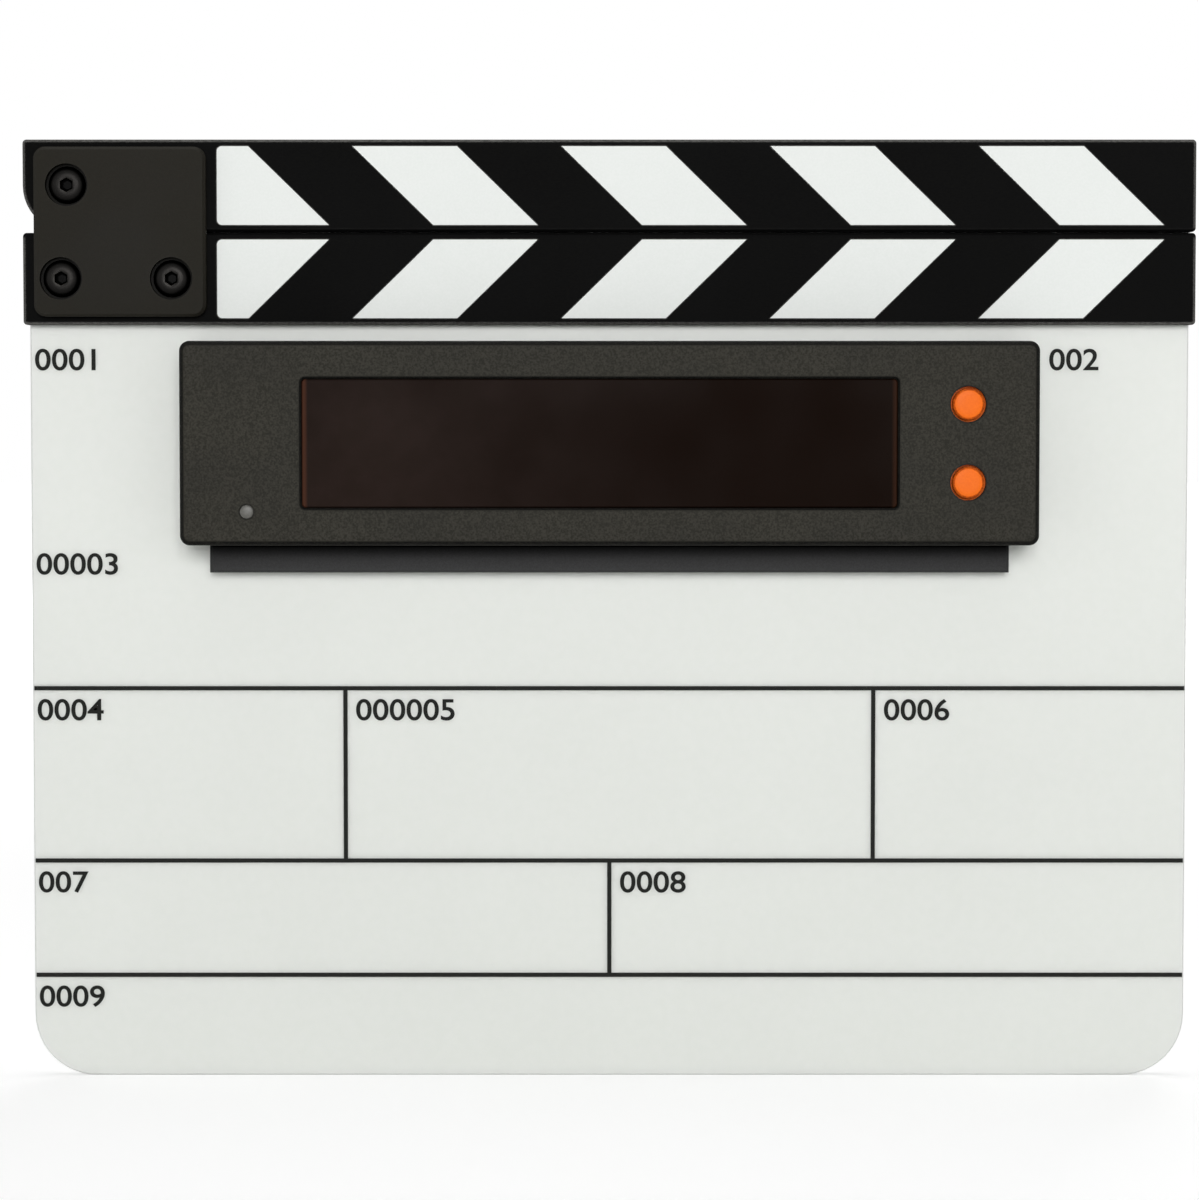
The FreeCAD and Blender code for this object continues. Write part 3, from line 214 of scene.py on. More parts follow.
@cache
def surface_group() -> NodeTree:
    """Build the shared surface effect once: grain, cloudy patches, and edges that are worn on most
    finishes and carry a painted highlight on some and painted shade on others.

    Returns:
        The node group.
    """
    colours = ("Base Color", "Fleck Color", "Wear And Shading Color")
    values = ("Grain Scale", "Fleck Amount", "Patch Scale", "Patch Amount", "Wear And Shading Width",
              "Wear And Shading Amount", "Rounded Shading", "Roughness", "Roughness Spread")
    inputs = {**dict.fromkeys(colours, "Color"), "Stretch": "Vector", **dict.fromkeys(values, "Float")}
    graph = new_group("worn_and_shaded_surface", inputs, {"Color": "Color", "Roughness": "Float", "Height": "Float"})
    given = graph.add("NodeGroupInput").outputs
    own = graph.add("ShaderNodeTexCoord").outputs

    drawn_out = {0: own["Object"], 1: given["Stretch"]}
    stretched = graph.add("ShaderNodeVectorMath", drawn_out, operation="MULTIPLY").outputs[0]
    grain = graph.spread(graph.noise(stretched, given["Grain Scale"], GRAIN_LAYERS), *GRAIN_RANGE)
    patches = graph.spread(graph.noise(own["Object"], given["Patch Scale"], PATCH_LAYERS), *PATCH_RANGE)
    cloud = graph.math("SUBTRACT", patches, PATCH_MIDDLE)

    # A sharp edge turns the normal within the width given for the edge colour
    bevel = graph.add("ShaderNodeBevel", {"Radius": given["Wear And Shading Width"]}, samples=EDGE_SAMPLES)
    normals = {0: bevel.outputs["Normal"], 1: graph.add("ShaderNodeNewGeometry").outputs["Normal"]}
    turn = graph.add("ShaderNodeVectorMath", normals, operation="DOT_PRODUCT").outputs["Value"]
    sharp = graph.spread(graph.math("SUBTRACT", 1.0, turn), *SHARP_RANGE)

    # A rounded edge of a box-like piece looks along no axis
    sizes = graph.add("ShaderNodeVectorMath", {0: own["Normal"]}, operation="ABSOLUTE").outputs[0]
    axes = graph.add("ShaderNodeSeparateXYZ", {0: sizes}).outputs
    squarest = graph.math("MAXIMUM", axes["X"], graph.math("MAXIMUM", axes["Y"], axes["Z"]))
    rounded = graph.spread(graph.math("SUBTRACT", 1.0, squarest), *ROUNDED_RANGE)

    # Edge colour: worn on most finishes, a painted highlight on the sticks, hinge plates and board,
    # painted shade on the case and buttons
    edge = graph.math("MAXIMUM", sharp, graph.math("MULTIPLY", rounded, given["Rounded Shading"]))
    broken = graph.math("MULTIPLY", edge, graph.spread(grain, *BROKEN_RANGE, *BROKEN_SHARES))
    wear_and_shading = graph.math("MULTIPLY", broken, given["Wear And Shading Amount"], clamp=True)

    flecks = graph.math("MULTIPLY", grain, given["Fleck Amount"])
    colour = graph.mix(flecks, given["Base Color"], given["Fleck Color"])
    lift = graph.math("ADD", 1.0, graph.math("MULTIPLY", cloud, given["Patch Amount"]))
    cloudy = graph.add("ShaderNodeVectorMath", {0: colour, "Scale": lift}, operation="SCALE").outputs[0]
    uneven = graph.math("MULTIPLY", cloud, given["Roughness Spread"])
    graph.feed(graph.add("NodeGroupOutput"), {
        "Color": graph.mix(wear_and_shading, cloudy, given["Wear And Shading Color"]),
        "Roughness": graph.math("ADD", given["Roughness"], uneven, clamp=True),
        "Height": grain,
    })
    return graph.tree


@cache
def recess_shade_group() -> NodeTree:
    """Build the shared painted shade once: black painted into recesses and under overhangs.

    Returns:
        The node group.
    """
    inputs = {"Color": "Color", "Shade Color": "Color", "Reach": "Float", "Amount": "Float"}
    graph = new_group("painted_recess_shade", inputs, {"Color": "Color"})
    given = graph.add("NodeGroupInput").outputs
    # Painted shade: the more hemmed in an occlusion reading finds a place, the more black is painted on
    # it
    hollow = graph.add("ShaderNodeAmbientOcclusion", {"Distance": given["Reach"]}, samples=HOLLOW_SAMPLES)
    depth = graph.spread(hollow.outputs["AO"], *HOLLOW_RANGE, 1.0, 0.0)
    share = graph.math("MULTIPLY", depth, given["Amount"], clamp=True)
    recess_shaded = graph.mix(share, given["Color"], given["Shade Color"])
    graph.feed(graph.add("NodeGroupOutput"), {"Color": recess_shaded})
    return graph.tree


# Finishes


@dataclass(frozen=True)
class Finish:
    """A surface finish, with its grain and its coloured edges, worn on most finishes and painted as
    highlight and shade on others.

    Attributes:
        slot: The record's material slot.
        base, fleck, wear_and_shading: Colours of the surface, of its grain and of its edges, worn on most
            finishes, a painted highlight on some and painted shade on others.
        roughness, roughness_spread: Mean roughness and how much it varies.
        specular, metallic: Plain values of the shader.
        grain_size, grain_depth: Size and depth of the grain in millimetres.
        fleck_amount: How strongly the grain shows as colour.
        stretch: How the grain is drawn out along the three axes.
        patch_size, patch_amount: Size in millimetres and strength of cloudy patches.
        wear_and_shading_width, wear_and_shading_amount: Width in millimetres and strength of that edge
        colour.
        rounded_shading: How much of that edge colour the rounded edges of a box-like piece get: painted
            highlight where it is light, painted shade where it is dark.
        recess_shade_reach, recess_shade_amount: Reach in millimetres and strength of the black
            painted shade in recesses and under overhangs; without an amount there is none.
        translucency, scatter: Share of light that spreads under the surface, and how far in
            millimetres.
    """

    slot: str
    base: Colour
    fleck: Colour
    wear_and_shading: Colour
    roughness: float = 0.5
    roughness_spread: float = 0.1
    specular: float = 0.3
    metallic: float = 0.0
    grain_size: float = 0.6
    grain_depth: float = 0.01
    fleck_amount: float = 0.6
    stretch: tuple[float, float, float] = (1.0, 1.0, 1.0)
    patch_size: float = 40.0
    patch_amount: float = 0.08
    wear_and_shading_width: float = 0.5
    wear_and_shading_amount: float = 0.3
    rounded_shading: float = 0.0
    recess_shade_reach: float = 2.0
    recess_shade_amount: float = 0.0
    translucency: float = 0.0
    scatter: float = 1.0

    def material(self) -> bpy.types.Material:
        """Give the finish's material, building it the first time.

        Returns:
            The material.
        """
        name = f"{self.slot}_finish"
        made = bpy.data.materials.get(name)
        if made:
            return made
        material = bpy.data.materials.new(name)
        material.use_nodes = True
        graph = Graph(material.node_tree)
        surface = graph.add("ShaderNodeGroup", {
            "Base Color": self.base,
            "Fleck Color": self.fleck,
            "Wear And Shading Color": self.wear_and_shading,
            "Grain Scale": 1 / (self.grain_size * MM),
            "Fleck Amount": self.fleck_amount,
            "Stretch": self.stretch,
            "Patch Scale": 1 / (self.patch_size * MM),
            "Patch Amount": self.patch_amount,
            "Wear And Shading Width": self.wear_and_shading_width * MM,
            "Wear And Shading Amount": self.wear_and_shading_amount,
            "Rounded Shading": self.rounded_shading,
            "Roughness": self.roughness,
            "Roughness Spread": self.roughness_spread,
        }, node_tree=surface_group()).outputs
        bump = graph.add("ShaderNodeBump", {
            "Strength": 1.0,
            "Distance": self.grain_depth * MM,
            "Height": surface["Height"],
        })
        graph.feed(graph.tree.nodes["Principled BSDF"], {
            "Base Color": self.recess_shaded(graph, self.with_painted_light(graph, surface["Color"])),
            "Roughness": surface["Roughness"],
            "Specular IOR Level": self.specular,
            "Metallic": self.metallic,
            "Subsurface Weight": self.translucency,
            "Subsurface Radius": (1.0, 1.0, 1.0),
            "Subsurface Scale": self.scatter * MM,
            "Normal": bump.outputs["Normal"],
        })
        return material

    def with_painted_light(self, graph: Graph, colour: Socket) -> Socket:
        """Leave the surface's colour as it is; a finish with more to show changes it."""
        return colour

    def recess_shaded(self, graph: Graph, colour: Socket) -> Socket:
        """Add the painted recess shade, if the finish has any.

        Args:
            graph: The material's nodes.
            colour: The surface's colour.

        Returns:
            The colour with the painted shade.
        """
        if not self.recess_shade_amount:
            return colour
        return graph.add("ShaderNodeGroup", {
            "Color": colour,
            "Shade Color": BLACK,
            "Reach": self.recess_shade_reach * MM,
            "Amount": self.recess_shade_amount,
        }, node_tree=recess_shade_group()).outputs["Color"]


@dataclass(frozen=True)
class TintedPane(Finish):
    """Tinted acrylic, darkened towards its right end by a painted reflection, with painted light along
    its two cut ends.

    Attributes:
        dark_reflection: Colour of the darker right end, a painted reflection.
        dark_reflection_place: Where that colour is reached, as a share of the way from middle to right.
        dark_reflection_amount: How much of that colour shows there.
        painted_glow, right_painted_glow: Painted light at the cut ends on the left and on the right.
        ends: The pane's left and right ends along X, in metres.
        painted_glow_width: How far that painted light reaches in, in millimetres.
        painted_glow_core: Share of that width with the full painted light.
    """

    dark_reflection: Colour = BLACK
    dark_reflection_place: float = 0.5
    dark_reflection_amount: float = 0.9
    painted_glow: Colour = WHITE
    right_painted_glow: Colour = WHITE
    ends: tuple[float, float] = (0.0, 0.0)
    painted_glow_width: float = 1.6
    painted_glow_core: float = 1 / 3

    def with_painted_light(self, graph: Graph, colour: Socket) -> Socket:
        """Paint a reflection that darkens the pane from left to right, and the light along its two cut
        ends.

        Args:
            graph: The material's nodes.
            colour: The surface's colour.

        Returns:
            The colour with the painted reflection and the painted light of the ends.
        """
        left, right = self.ends
        middle, half = (left + right) / 2, (right - left) / 2
        reach = self.painted_glow_width * MM
        place = graph.along("X")
        # Painted light along the cut ends, and a painted reflection that darkens the pane towards the
        # right
        near_end = graph.spread(graph.away(place, middle), half - reach, half - reach * self.painted_glow_core)
        reflection_share = graph.spread(place, left, middle + half * self.dark_reflection_place, 0.0, self.dark_reflection_amount)
        pane = graph.mix(reflection_share, colour, self.dark_reflection)
        return graph.mix(near_end, pane, graph.mix(reflection_share, self.painted_glow, self.right_painted_glow))


@dataclass(frozen=True)
class StickFinish(Finish):
    """Black stick with a painted highlight on its outer edges, kept off the edges along the seam where
    the sticks meet.

    Attributes:
        seam: Height of the seam in metres.
        seam_reach: How far from the seam the edges stay dark, in millimetres.
        seam_core: Share of that reach that is all dark.
    """

    seam: float = 0.0
    seam_reach: float = 1.6
    seam_core: float = 0.5

    def with_painted_light(self, graph: Graph, colour: Socket) -> Socket:
        """Take the painted edge highlight off along the seam, bringing back the plain black.

        Args:
            graph: The material's nodes.
            colour: The surface's colour.

        Returns:
            The colour with the dark seam.
        """
        reach = self.seam_reach * MM
        away = graph.away(graph.along("Z"), self.seam)
        return graph.mix(graph.spread(away, reach * self.seam_core, reach, 1.0, 0.0), colour, self.base)


# Painted highlight: the board's edges are painted lighter
WHITE_ACRYLIC = Finish(
    "white_acrylic", srgb(224, 226, 222), srgb(219, 222, 217), srgb(236, 238, 234),
    roughness=0.32, roughness_spread=0.03, grain_size=2.5, grain_depth=0.001, fleck_amount=0.25,
    patch_size=70, patch_amount=0.012, wear_and_shading_width=0.8, wear_and_shading_amount=0.5,
    translucency=0.7, scatter=4.0)
LINE_INK = Finish(
    "line_ink", srgb(27, 28, 26), srgb(40, 41, 38), srgb(62, 62, 59),
    roughness=0.55, specular=0.06, grain_size=0.5, fleck_amount=0.5, wear_and_shading_width=0.15)
STRIPE_WHITE = Finish(
    "stripe_white", srgb(230, 233, 230), srgb(224, 228, 224), srgb(214, 217, 213),
    specular=0.2, grain_depth=0.001, fleck_amount=0.4,
    patch_size=12, patch_amount=0.015, wear_and_shading_width=0.3)
# Painted highlight on the hinge plates' edges, and painted shade in their recesses
PLATE_BLACK = Finish(
    "plate_black", srgb(27, 25, 20), srgb(32, 30, 24), srgb(46, 45, 41),
    roughness=0.45, specular=0.05, grain_size=0.3, grain_depth=0.004,
    patch_size=25, patch_amount=0.25, wear_and_shading_amount=0.4, rounded_shading=0.6,
    recess_shade_reach=2.5, recess_shade_amount=0.7)
# Painted shade: black painted into the screws' sockets and round their heads
SCREW_BLACK = Finish(
    "screw_black", srgb(25, 24, 23), srgb(19, 18, 17), srgb(80, 77, 71),
    roughness=0.4, metallic=0.9, grain_size=0.25, grain_depth=0.006,
    fleck_amount=0.7, wear_and_shading_width=0.2, wear_and_shading_amount=0.35, recess_shade_reach=4.0, recess_shade_amount=1.0)
BUSH_BRASS = Finish(
    "bush_brass", srgb(196, 160, 92), srgb(176, 138, 72), srgb(226, 198, 138),
    roughness=0.3, metallic=1.0, grain_size=0.4, stretch=(1.0, 0.1, 1.0), wear_and_shading_width=0.2)
WASHER_NYLON = Finish(
    "washer_nylon", srgb(214, 210, 198), srgb(204, 199, 186), srgb(224, 221, 212),
    grain_size=0.5, wear_and_shading_width=0.2)
# Painted shade: the bracket's ledge is painted black under the display's overhang
BRACKET_BLACK = Finish(
    "bracket_black", srgb(57, 57, 57), srgb(66, 66, 67), srgb(84, 84, 84),
    roughness=0.6, specular=0.02, grain_size=0.4, grain_depth=0.006,
    patch_amount=0.12, wear_and_shading_width=0.4, recess_shade_reach=9.0, recess_shade_amount=1.0)
# Painted shade: the case's edges and rounded rims are painted near black
CASE_GREY = Finish(
    "case_grey", srgb(36, 35, 30), srgb(59, 57, 51), srgb(4, 4, 3),
    roughness=0.6, specular=0.08, grain_size=0.45, fleck_amount=0.7,
    patch_size=22, patch_amount=0.3, wear_and_shading_width=0.8, wear_and_shading_amount=1.1, rounded_shading=1.0)
SEAL_FOAM = Finish(
    "seal_foam", srgb(24, 24, 24), srgb(34, 34, 34), srgb(40, 40, 40),
    roughness=0.9, grain_size=0.3, wear_and_shading_width=0.2)
DIGIT_FACE = Finish(
    "digit_face", srgb(36, 34, 33), srgb(46, 44, 42), srgb(120, 116, 110),
    grain_size=0.4, wear_and_shading_width=0.3)
CIRCUIT_GREEN = Finish(
    "circuit_green", srgb(24, 82, 48), srgb(70, 112, 62), srgb(184, 150, 84),
    roughness=0.35, specular=0.5, grain_size=1.2, stretch=(0.15, 1.0, 1.0), wear_and_shading_width=0.3)
# Painted shade: the buttons' rounded rims are painted dark brown
BUTTON_ORANGE = Finish(
    "button_orange", srgb(242, 112, 20), srgb(234, 102, 14), srgb(150, 56, 8),
    roughness=0.45, specular=0.12, grain_size=0.5, grain_depth=0.006, fleck_amount=0.5,
    patch_size=6, patch_amount=0.06, wear_and_shading_width=0.4, wear_and_shading_amount=0.9, rounded_shading=1.0)
SWITCH_BLACK = Finish(
    "switch_black", srgb(30, 30, 30), srgb(40, 40, 40), srgb(70, 70, 70),
    grain_size=0.4, wear_and_shading_width=0.2)
LENS_CLEAR = Finish(
    "lens_clear", srgb(84, 83, 79), srgb(96, 95, 90), srgb(56, 55, 52),
    roughness=0.38, grain_depth=0.004, wear_and_shading_width=0.4)
BATTERY_WRAP = Finish(
    "battery_wrap", srgb(150, 152, 156), srgb(166, 168, 172), srgb(190, 190, 192),
    roughness=0.35, metallic=0.6, grain_size=1.5, grain_depth=0.02, wear_and_shading_width=0.4)
SOCKET_STEEL = Finish(
    "socket_steel", srgb(168, 168, 170), srgb(150, 150, 152), srgb(206, 206, 206),
    roughness=0.28, metallic=1.0, grain_size=0.3, stretch=(0.1, 1.0, 1.0), wear_and_shading_width=0.15)


# Modelling helpers


def deselect() -> None:
    """Leave edit mode if need be, and deselect every object."""
    if bpy.context.mode != "OBJECT":
        bpy.ops.object.mode_set(mode="OBJECT")
    bpy.ops.object.select_all(action="DESELECT")


def activate(piece: Piece) -> None:
    """Select one piece alone and make it the active one.

    Args:
        piece: The piece.
    """
    deselect()
    piece.select_set(True)
    bpy.context.view_layer.objects.active = piece


def start_edit(piece: Piece, mode: str = "FACE") -> bmesh.types.BMesh:
    """Open one piece in edit mode with nothing selected.

    Args:
        piece: The piece to shape.
        mode: What is selected: FACE, EDGE or VERT.

    Returns:
        The mesh being edited.
    """
    activate(piece)
    bpy.ops.object.mode_set(mode="EDIT")
    bpy.ops.mesh.select_mode(type=mode)
    bpy.ops.mesh.select_all(action="DESELECT")
    return bmesh.from_edit_mesh(piece.data)


def end_edit() -> None:
    """Close edit mode with every face pointing outwards."""
    bpy.ops.mesh.select_all(action="SELECT")
    bpy.ops.mesh.remove_doubles(threshold=SAME_PLACE)
    bpy.ops.mesh.normals_make_consistent(inside=False)
    bpy.ops.object.mode_set(mode="OBJECT")


def pick(piece: Piece, elements: Sequence, test: Callable[[object], bool]) -> None:
    """Select the parts of a mesh in edit mode that pass a test.

    Args:
        piece: The piece in edit mode.
        elements: Its faces, edges or corners.
        test: Whether one of them is selected.
    """
    for element in elements:
        element.select_set(test(element))
    bmesh.update_edit_mesh(piece.data)


def extrude(step: Sequence[float]) -> None:
    """Extrude what is selected in edit mode."""
    bpy.ops.mesh.extrude_region_move(TRANSFORM_OT_translate={"value": step})


def named(name: str) -> Piece:
    """Name the primitive just added, and put its place into its mesh.

    Args:
        name: The piece's name.

    Returns:
        The piece.
    """
    piece = bpy.context.object
    piece.name = name
    piece.data.name = name
    bpy.ops.object.transform_apply(location=True, rotation=True, scale=True)
    return piece


def apply_modifier(piece: Piece, kind: str, **settings: object) -> None:
    """Add a modifier to a piece and apply it.

    Args:
        piece: The piece.
        kind: The modifier's type.
        settings: Properties of the modifier.
    """
    activate(piece)
    modifier = piece.modifiers.new(kind.lower(), kind)
    for name, value in settings.items():
        setattr(modifier, name, value)
    bpy.ops.object.modifier_apply(modifier=modifier.name)


def cut(piece: Piece, cutter: Piece) -> None:
    """Cut the cutter's shape out of a piece and throw the cutter away."""
    apply_modifier(piece, "BOOLEAN", operation="DIFFERENCE", solver="EXACT", object=cutter)
    bpy.data.objects.remove(cutter)


def copied(piece: Piece, offset: Vector) -> Piece:
    """Copy a piece, with a mesh of its own.

    Args:
        piece: The piece to copy.
        offset: How far the copy is moved.

    Returns:
        The copy.
    """
    twin = piece.copy()
    twin.data = piece.data.copy()
    twin.data.transform(Matrix.Translation(offset))
    bpy.context.scene.collection.objects.link(twin)
    return twin


def joined(pieces: Sequence[Piece], name: str) -> Piece:
    """Join several pieces into one object.

    Args:
        pieces: The pieces.
        name: The name of the whole.

    Returns:
        The joined piece.
    """
    whole, *others = pieces
    activate(whole)
    for piece in others:
        piece.select_set(True)
    if others:
        bpy.ops.object.join()
    whole.name = name
    whole.data.name = name
    return whole


def turned(name: str, face: Vector, facing: Facing, rings: Sequence[Ring]) -> Piece:
    """Model a round piece along Y by extruding and scaling a disc from ring to ring.

    Args:
        name: The piece's name.
        face: The middle of its outer face.
        facing: Where the outer face looks.
        rings: Depth behind the outer face and radius of each ring, from the inner end.

    Returns:
        The piece.
    """
    depth, radius = rings[0]
    inward = -facing.value
    deselect()
    bpy.ops.mesh.primitive_circle_add(
        vertices=TURNED_SIDES, radius=radius, fill_type="NGON",
        location=face + Vector((0, inward * depth, 0)), rotation=(QUARTER_TURN, 0, 0))
    piece = named(name)
    start_edit(piece)
    bpy.ops.mesh.select_all(action="SELECT")
    for next_depth, next_radius in rings[1:]:
        extrude((0, inward * (next_depth - depth), 0))
        share = next_radius / radius
        if abs(share - 1) > SAME_SIZE:
            middle = face + Vector((0, inward * next_depth, 0))
            bpy.ops.transform.resize(value=(share, 1, share), center_override=middle)
        depth, radius = next_depth, next_radius
    end_edit()
    return piece


def quarter_round(edge: float, top: float, outer: float, inner: float,
                  steps: int = ROUND_STEPS) -> list[Ring]:
    """Rings of a rounded rim, from its side to its face.

    Args:
        edge, top: Depths where the round starts and ends.
        outer, inner: Radii where it starts and ends.
        steps: How many rings it takes.

    Returns:
        The rings after the first.
    """
    angles = (QUARTER_TURN * step / steps for step in range(1, steps + 1))
    return [(edge - (edge - top) * math.sin(angle), inner + (outer - inner) * math.cos(angle))
            for angle in angles]


def solid_boxes(node: str) -> list[Box]:
    """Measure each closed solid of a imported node, whose triangles are loose.

    Args:
        node: The node's name.

    Returns:
        Lowest and highest corners, from left to right.
    """
    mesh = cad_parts[node].data
    spots = [tuple(round(value / SAME_PLACE) for value in corner.co) for corner in mesh.vertices]
    leader = {spot: spot for spot in spots}

    def root(spot: tuple) -> tuple:
        """Follow a spot to the first one of its solid.

        Args:
            spot: The spot.

        Returns:
            The first spot of its solid.
        """
        while leader[spot] != spot:
            leader[spot] = leader[leader[spot]]
            spot = leader[spot]
        return spot

    for polygon in mesh.polygons:
        first, *others = (spots[index] for index in polygon.vertices)
        for other in others:
            leader[root(other)] = root(first)
    solids = defaultdict(list)
    for corner, spot in zip(mesh.vertices, spots):
        solids[root(spot)].append(corner.co)
    boxes = [(Vector(map(min, zip(*corners))), Vector(map(max, zip(*corners))))
             for corners in solids.values()]
    return sorted(boxes, key=lambda box: tuple(box[0]))


def face_middle(box: Box, facing: Facing) -> Vector:
    """Find the middle of a box's front or rear face.

    Args:
        box: The box's lowest and highest corners.
        facing: Which face.

    Returns:
        The middle.
    """
    low, high = box
    middle = (low + high) / 2
    middle.y = low.y if facing is Facing.FRONT else high.y
    return middle


def paint(node: str, finish: Finish) -> None:
    """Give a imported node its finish.

    Args:
        node: The node's name.
        finish: The finish.
    """
    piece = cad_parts[node]
    for slot in piece.material_slots:
        slot.material = finish.material()
    log.info("dressed %s in %s", node, finish.slot)


def fit(piece: Piece, body: str, finish: Finish, *nodes: str) -> None:
    """Give a new piece its finish, its body and the nodes that it stands for.

    Args:
        piece: The finished piece.
        body: The body that it rides on.
        finish: Its finish.
        nodes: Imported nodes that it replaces.
    """
    activate(piece)
    bpy.ops.object.shade_smooth_by_angle(angle=SMOOTH_ANGLE)
    piece.data.materials.clear()
    piece.data.materials.append(finish.material())
    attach(piece, body)
    if nodes:
        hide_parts(*nodes)
    log.info("modelled %s: %d faces on %s", piece.name, len(piece.data.polygons), body)


# Screws


@dataclass(frozen=True)
class Screw:
    """A screw or barrel nut along Y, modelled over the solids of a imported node.

    Attributes:
        node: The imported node.
        facing: Where its head looks.
        recess: The drive recess.
        shank: Radius of the shank in millimetres.
        recess_size: Width across a hexagon, or across a cross before it narrows, in millimetres.
        recess_depth: Depth of the recess in millimetres.
        edge: Width of the eased edges in millimetres.
        drill_share: How far a hexagon's floor is drawn in and sunk, as a share of recess_size
            and of recess_depth.
        blade_share: Width of the arms of a cross, as a share of recess_size.
        floor_share: Width across the floor of a cross, as a share of recess_size.
    """

    node: str
    facing: Facing
    recess: Recess
    shank: float
    recess_size: float
    recess_depth: float
    edge: float = 0.08
    drill_share: float = 0.2
    blade_share: float = 0.2
    floor_share: float = 0.45

    def rings(self, radius: float, length: float) -> list[Ring]:
        """Outline of the screw from its tip to its head.

        Args:
            radius: Radius of the head in metres.
            length: Length of the screw in metres.

        Returns:
            The rings.
        """
        raise NotImplementedError

    def hex_cutter(self, face: Vector) -> Piece:
        """Make the shape of a hexagon socket with a drilled floor.

        Args:
            face: The middle of the head's face.

        Returns:
            The cutter.
        """
        size, reach = self.recess_size * MM, self.recess_depth * MM
        inward = -self.facing.value
        deselect()
        bpy.ops.mesh.primitive_cylinder_add(
            vertices=HEX_SIDES, radius=size / math.sqrt(3), depth=2 * reach,
            location=face, rotation=(QUARTER_TURN, 0, 0))
        cutter = named(f"{self.node}_socket")
        mesh = start_edit(cutter)
        pick(cutter, mesh.faces, lambda side: side.normal.y * inward > SAME_WAY)
        bpy.ops.mesh.inset(thickness=size * self.drill_share)
        bpy.ops.transform.translate(value=(0, inward * reach * self.drill_share, 0))
        end_edit()
        return cutter

    def cross_cutter(self, face: Vector) -> Piece:
        """Make the shape of a cross recess that narrows towards its floor.

        Args:
            face: The middle of the head's face.

        Returns:
            The cutter.
        """
        size, reach = self.recess_size * MM, self.recess_depth * MM
        inward = -self.facing.value
        blade = size * self.blade_share
        arm = (size - blade) / 2
        deselect()
        bpy.ops.mesh.primitive_cube_add(size=1, location=face, scale=(blade, 2 * reach, blade))
        cutter = named(f"{self.node}_cross")
        for axis in (Vector((1, 0, 0)), Vector((0, 0, 1))):
            for side in (axis, -axis):
                mesh = start_edit(cutter)
                outermost = max(corner.co.dot(side) for corner in mesh.verts) - SAME_PLACE
                pick(cutter, mesh.faces, lambda flat: flat.normal.dot(side) > SAME_WAY
                     and flat.calc_center_median().dot(side) > outermost)
                extrude(side * arm)
        mesh = start_edit(cutter, "VERT")
        pick(cutter, mesh.verts, lambda corner: (corner.co.y - face.y) * inward > 0)
        bpy.ops.transform.resize(value=(self.floor_share, 1, self.floor_share), center_override=face)
        end_edit()
        return cutter

    def build(self, body: str, name: str, finish: Finish) -> None:
        """Model one screw, copy it to every solid of the node and join the row.

        Args:
            body: The body that the screws ride on.
            name: The name of the row.
            finish: Their finish.
        """
        boxes = solid_boxes(self.node)
        low, high = boxes[0]
        face = face_middle(boxes[0], self.facing)
        first = turned(name, face, self.facing, self.rings((high.x - low.x) / 2, high.y - low.y))
        cut(first, self.hex_cutter(face) if self.recess is Recess.HEX else self.cross_cutter(face))
        apply_modifier(first, "BEVEL", width=self.edge * MM, segments=EASED_SEGMENTS,
                       limit_method="ANGLE", angle_limit=EASED_ANGLE)
        others = [copied(first, face_middle(box, self.facing) - face) for box in boxes[1:]]
        fit(joined([first, *others], name), body, finish, self.node)


@dataclass(frozen=True)
class ButtonScrew(Screw):
    """A screw with a domed head, such as those of the hinge.

    Attributes:
        head: Height of the head in millimetres.
        rim: Height of the head's straight rim in millimetres.
        crown: Radius of the flat round the socket in millimetres.
    """

    head: float = 2.5
    rim: float = 0.5
    crown: float = 2.3

    def rings(self, radius: float, length: float) -> list[Ring]:
        """Outline from the tip over the shank and the rim to the crown.

        Args:
            radius: Radius of the head in metres.
            length: Length of the screw in metres.

        Returns:
            The rings.
        """
        head, shank, shoulder = self.head * MM, self.shank * MM, (self.head - self.rim) * MM
        dome = quarter_round(shoulder, 0.0, radius, self.crown * MM)
        return [(length, shank), (head, shank), (head, radius), (shoulder, radius), *dome]


@dataclass(frozen=True)
class CountersunkScrew(Screw):
    """A screw with a flat head sunk in a cone.

    Attributes:
        tip: Length of the pointed end in millimetres.
        tip_share: Radius at the very end, as a share of the shank's.
    """

    tip: float = 0.6
    tip_share: float = 0.5

    def rings(self, radius: float, length: float) -> list[Ring]:
        """Outline from the tip over the shank and the cone to the flat head."""
        shank, tip = self.shank * MM, self.tip * MM
        return [(length, shank * self.tip_share), (length - tip, shank),
                (radius - shank, shank), (0.0, radius)]


# Sub-assemblies


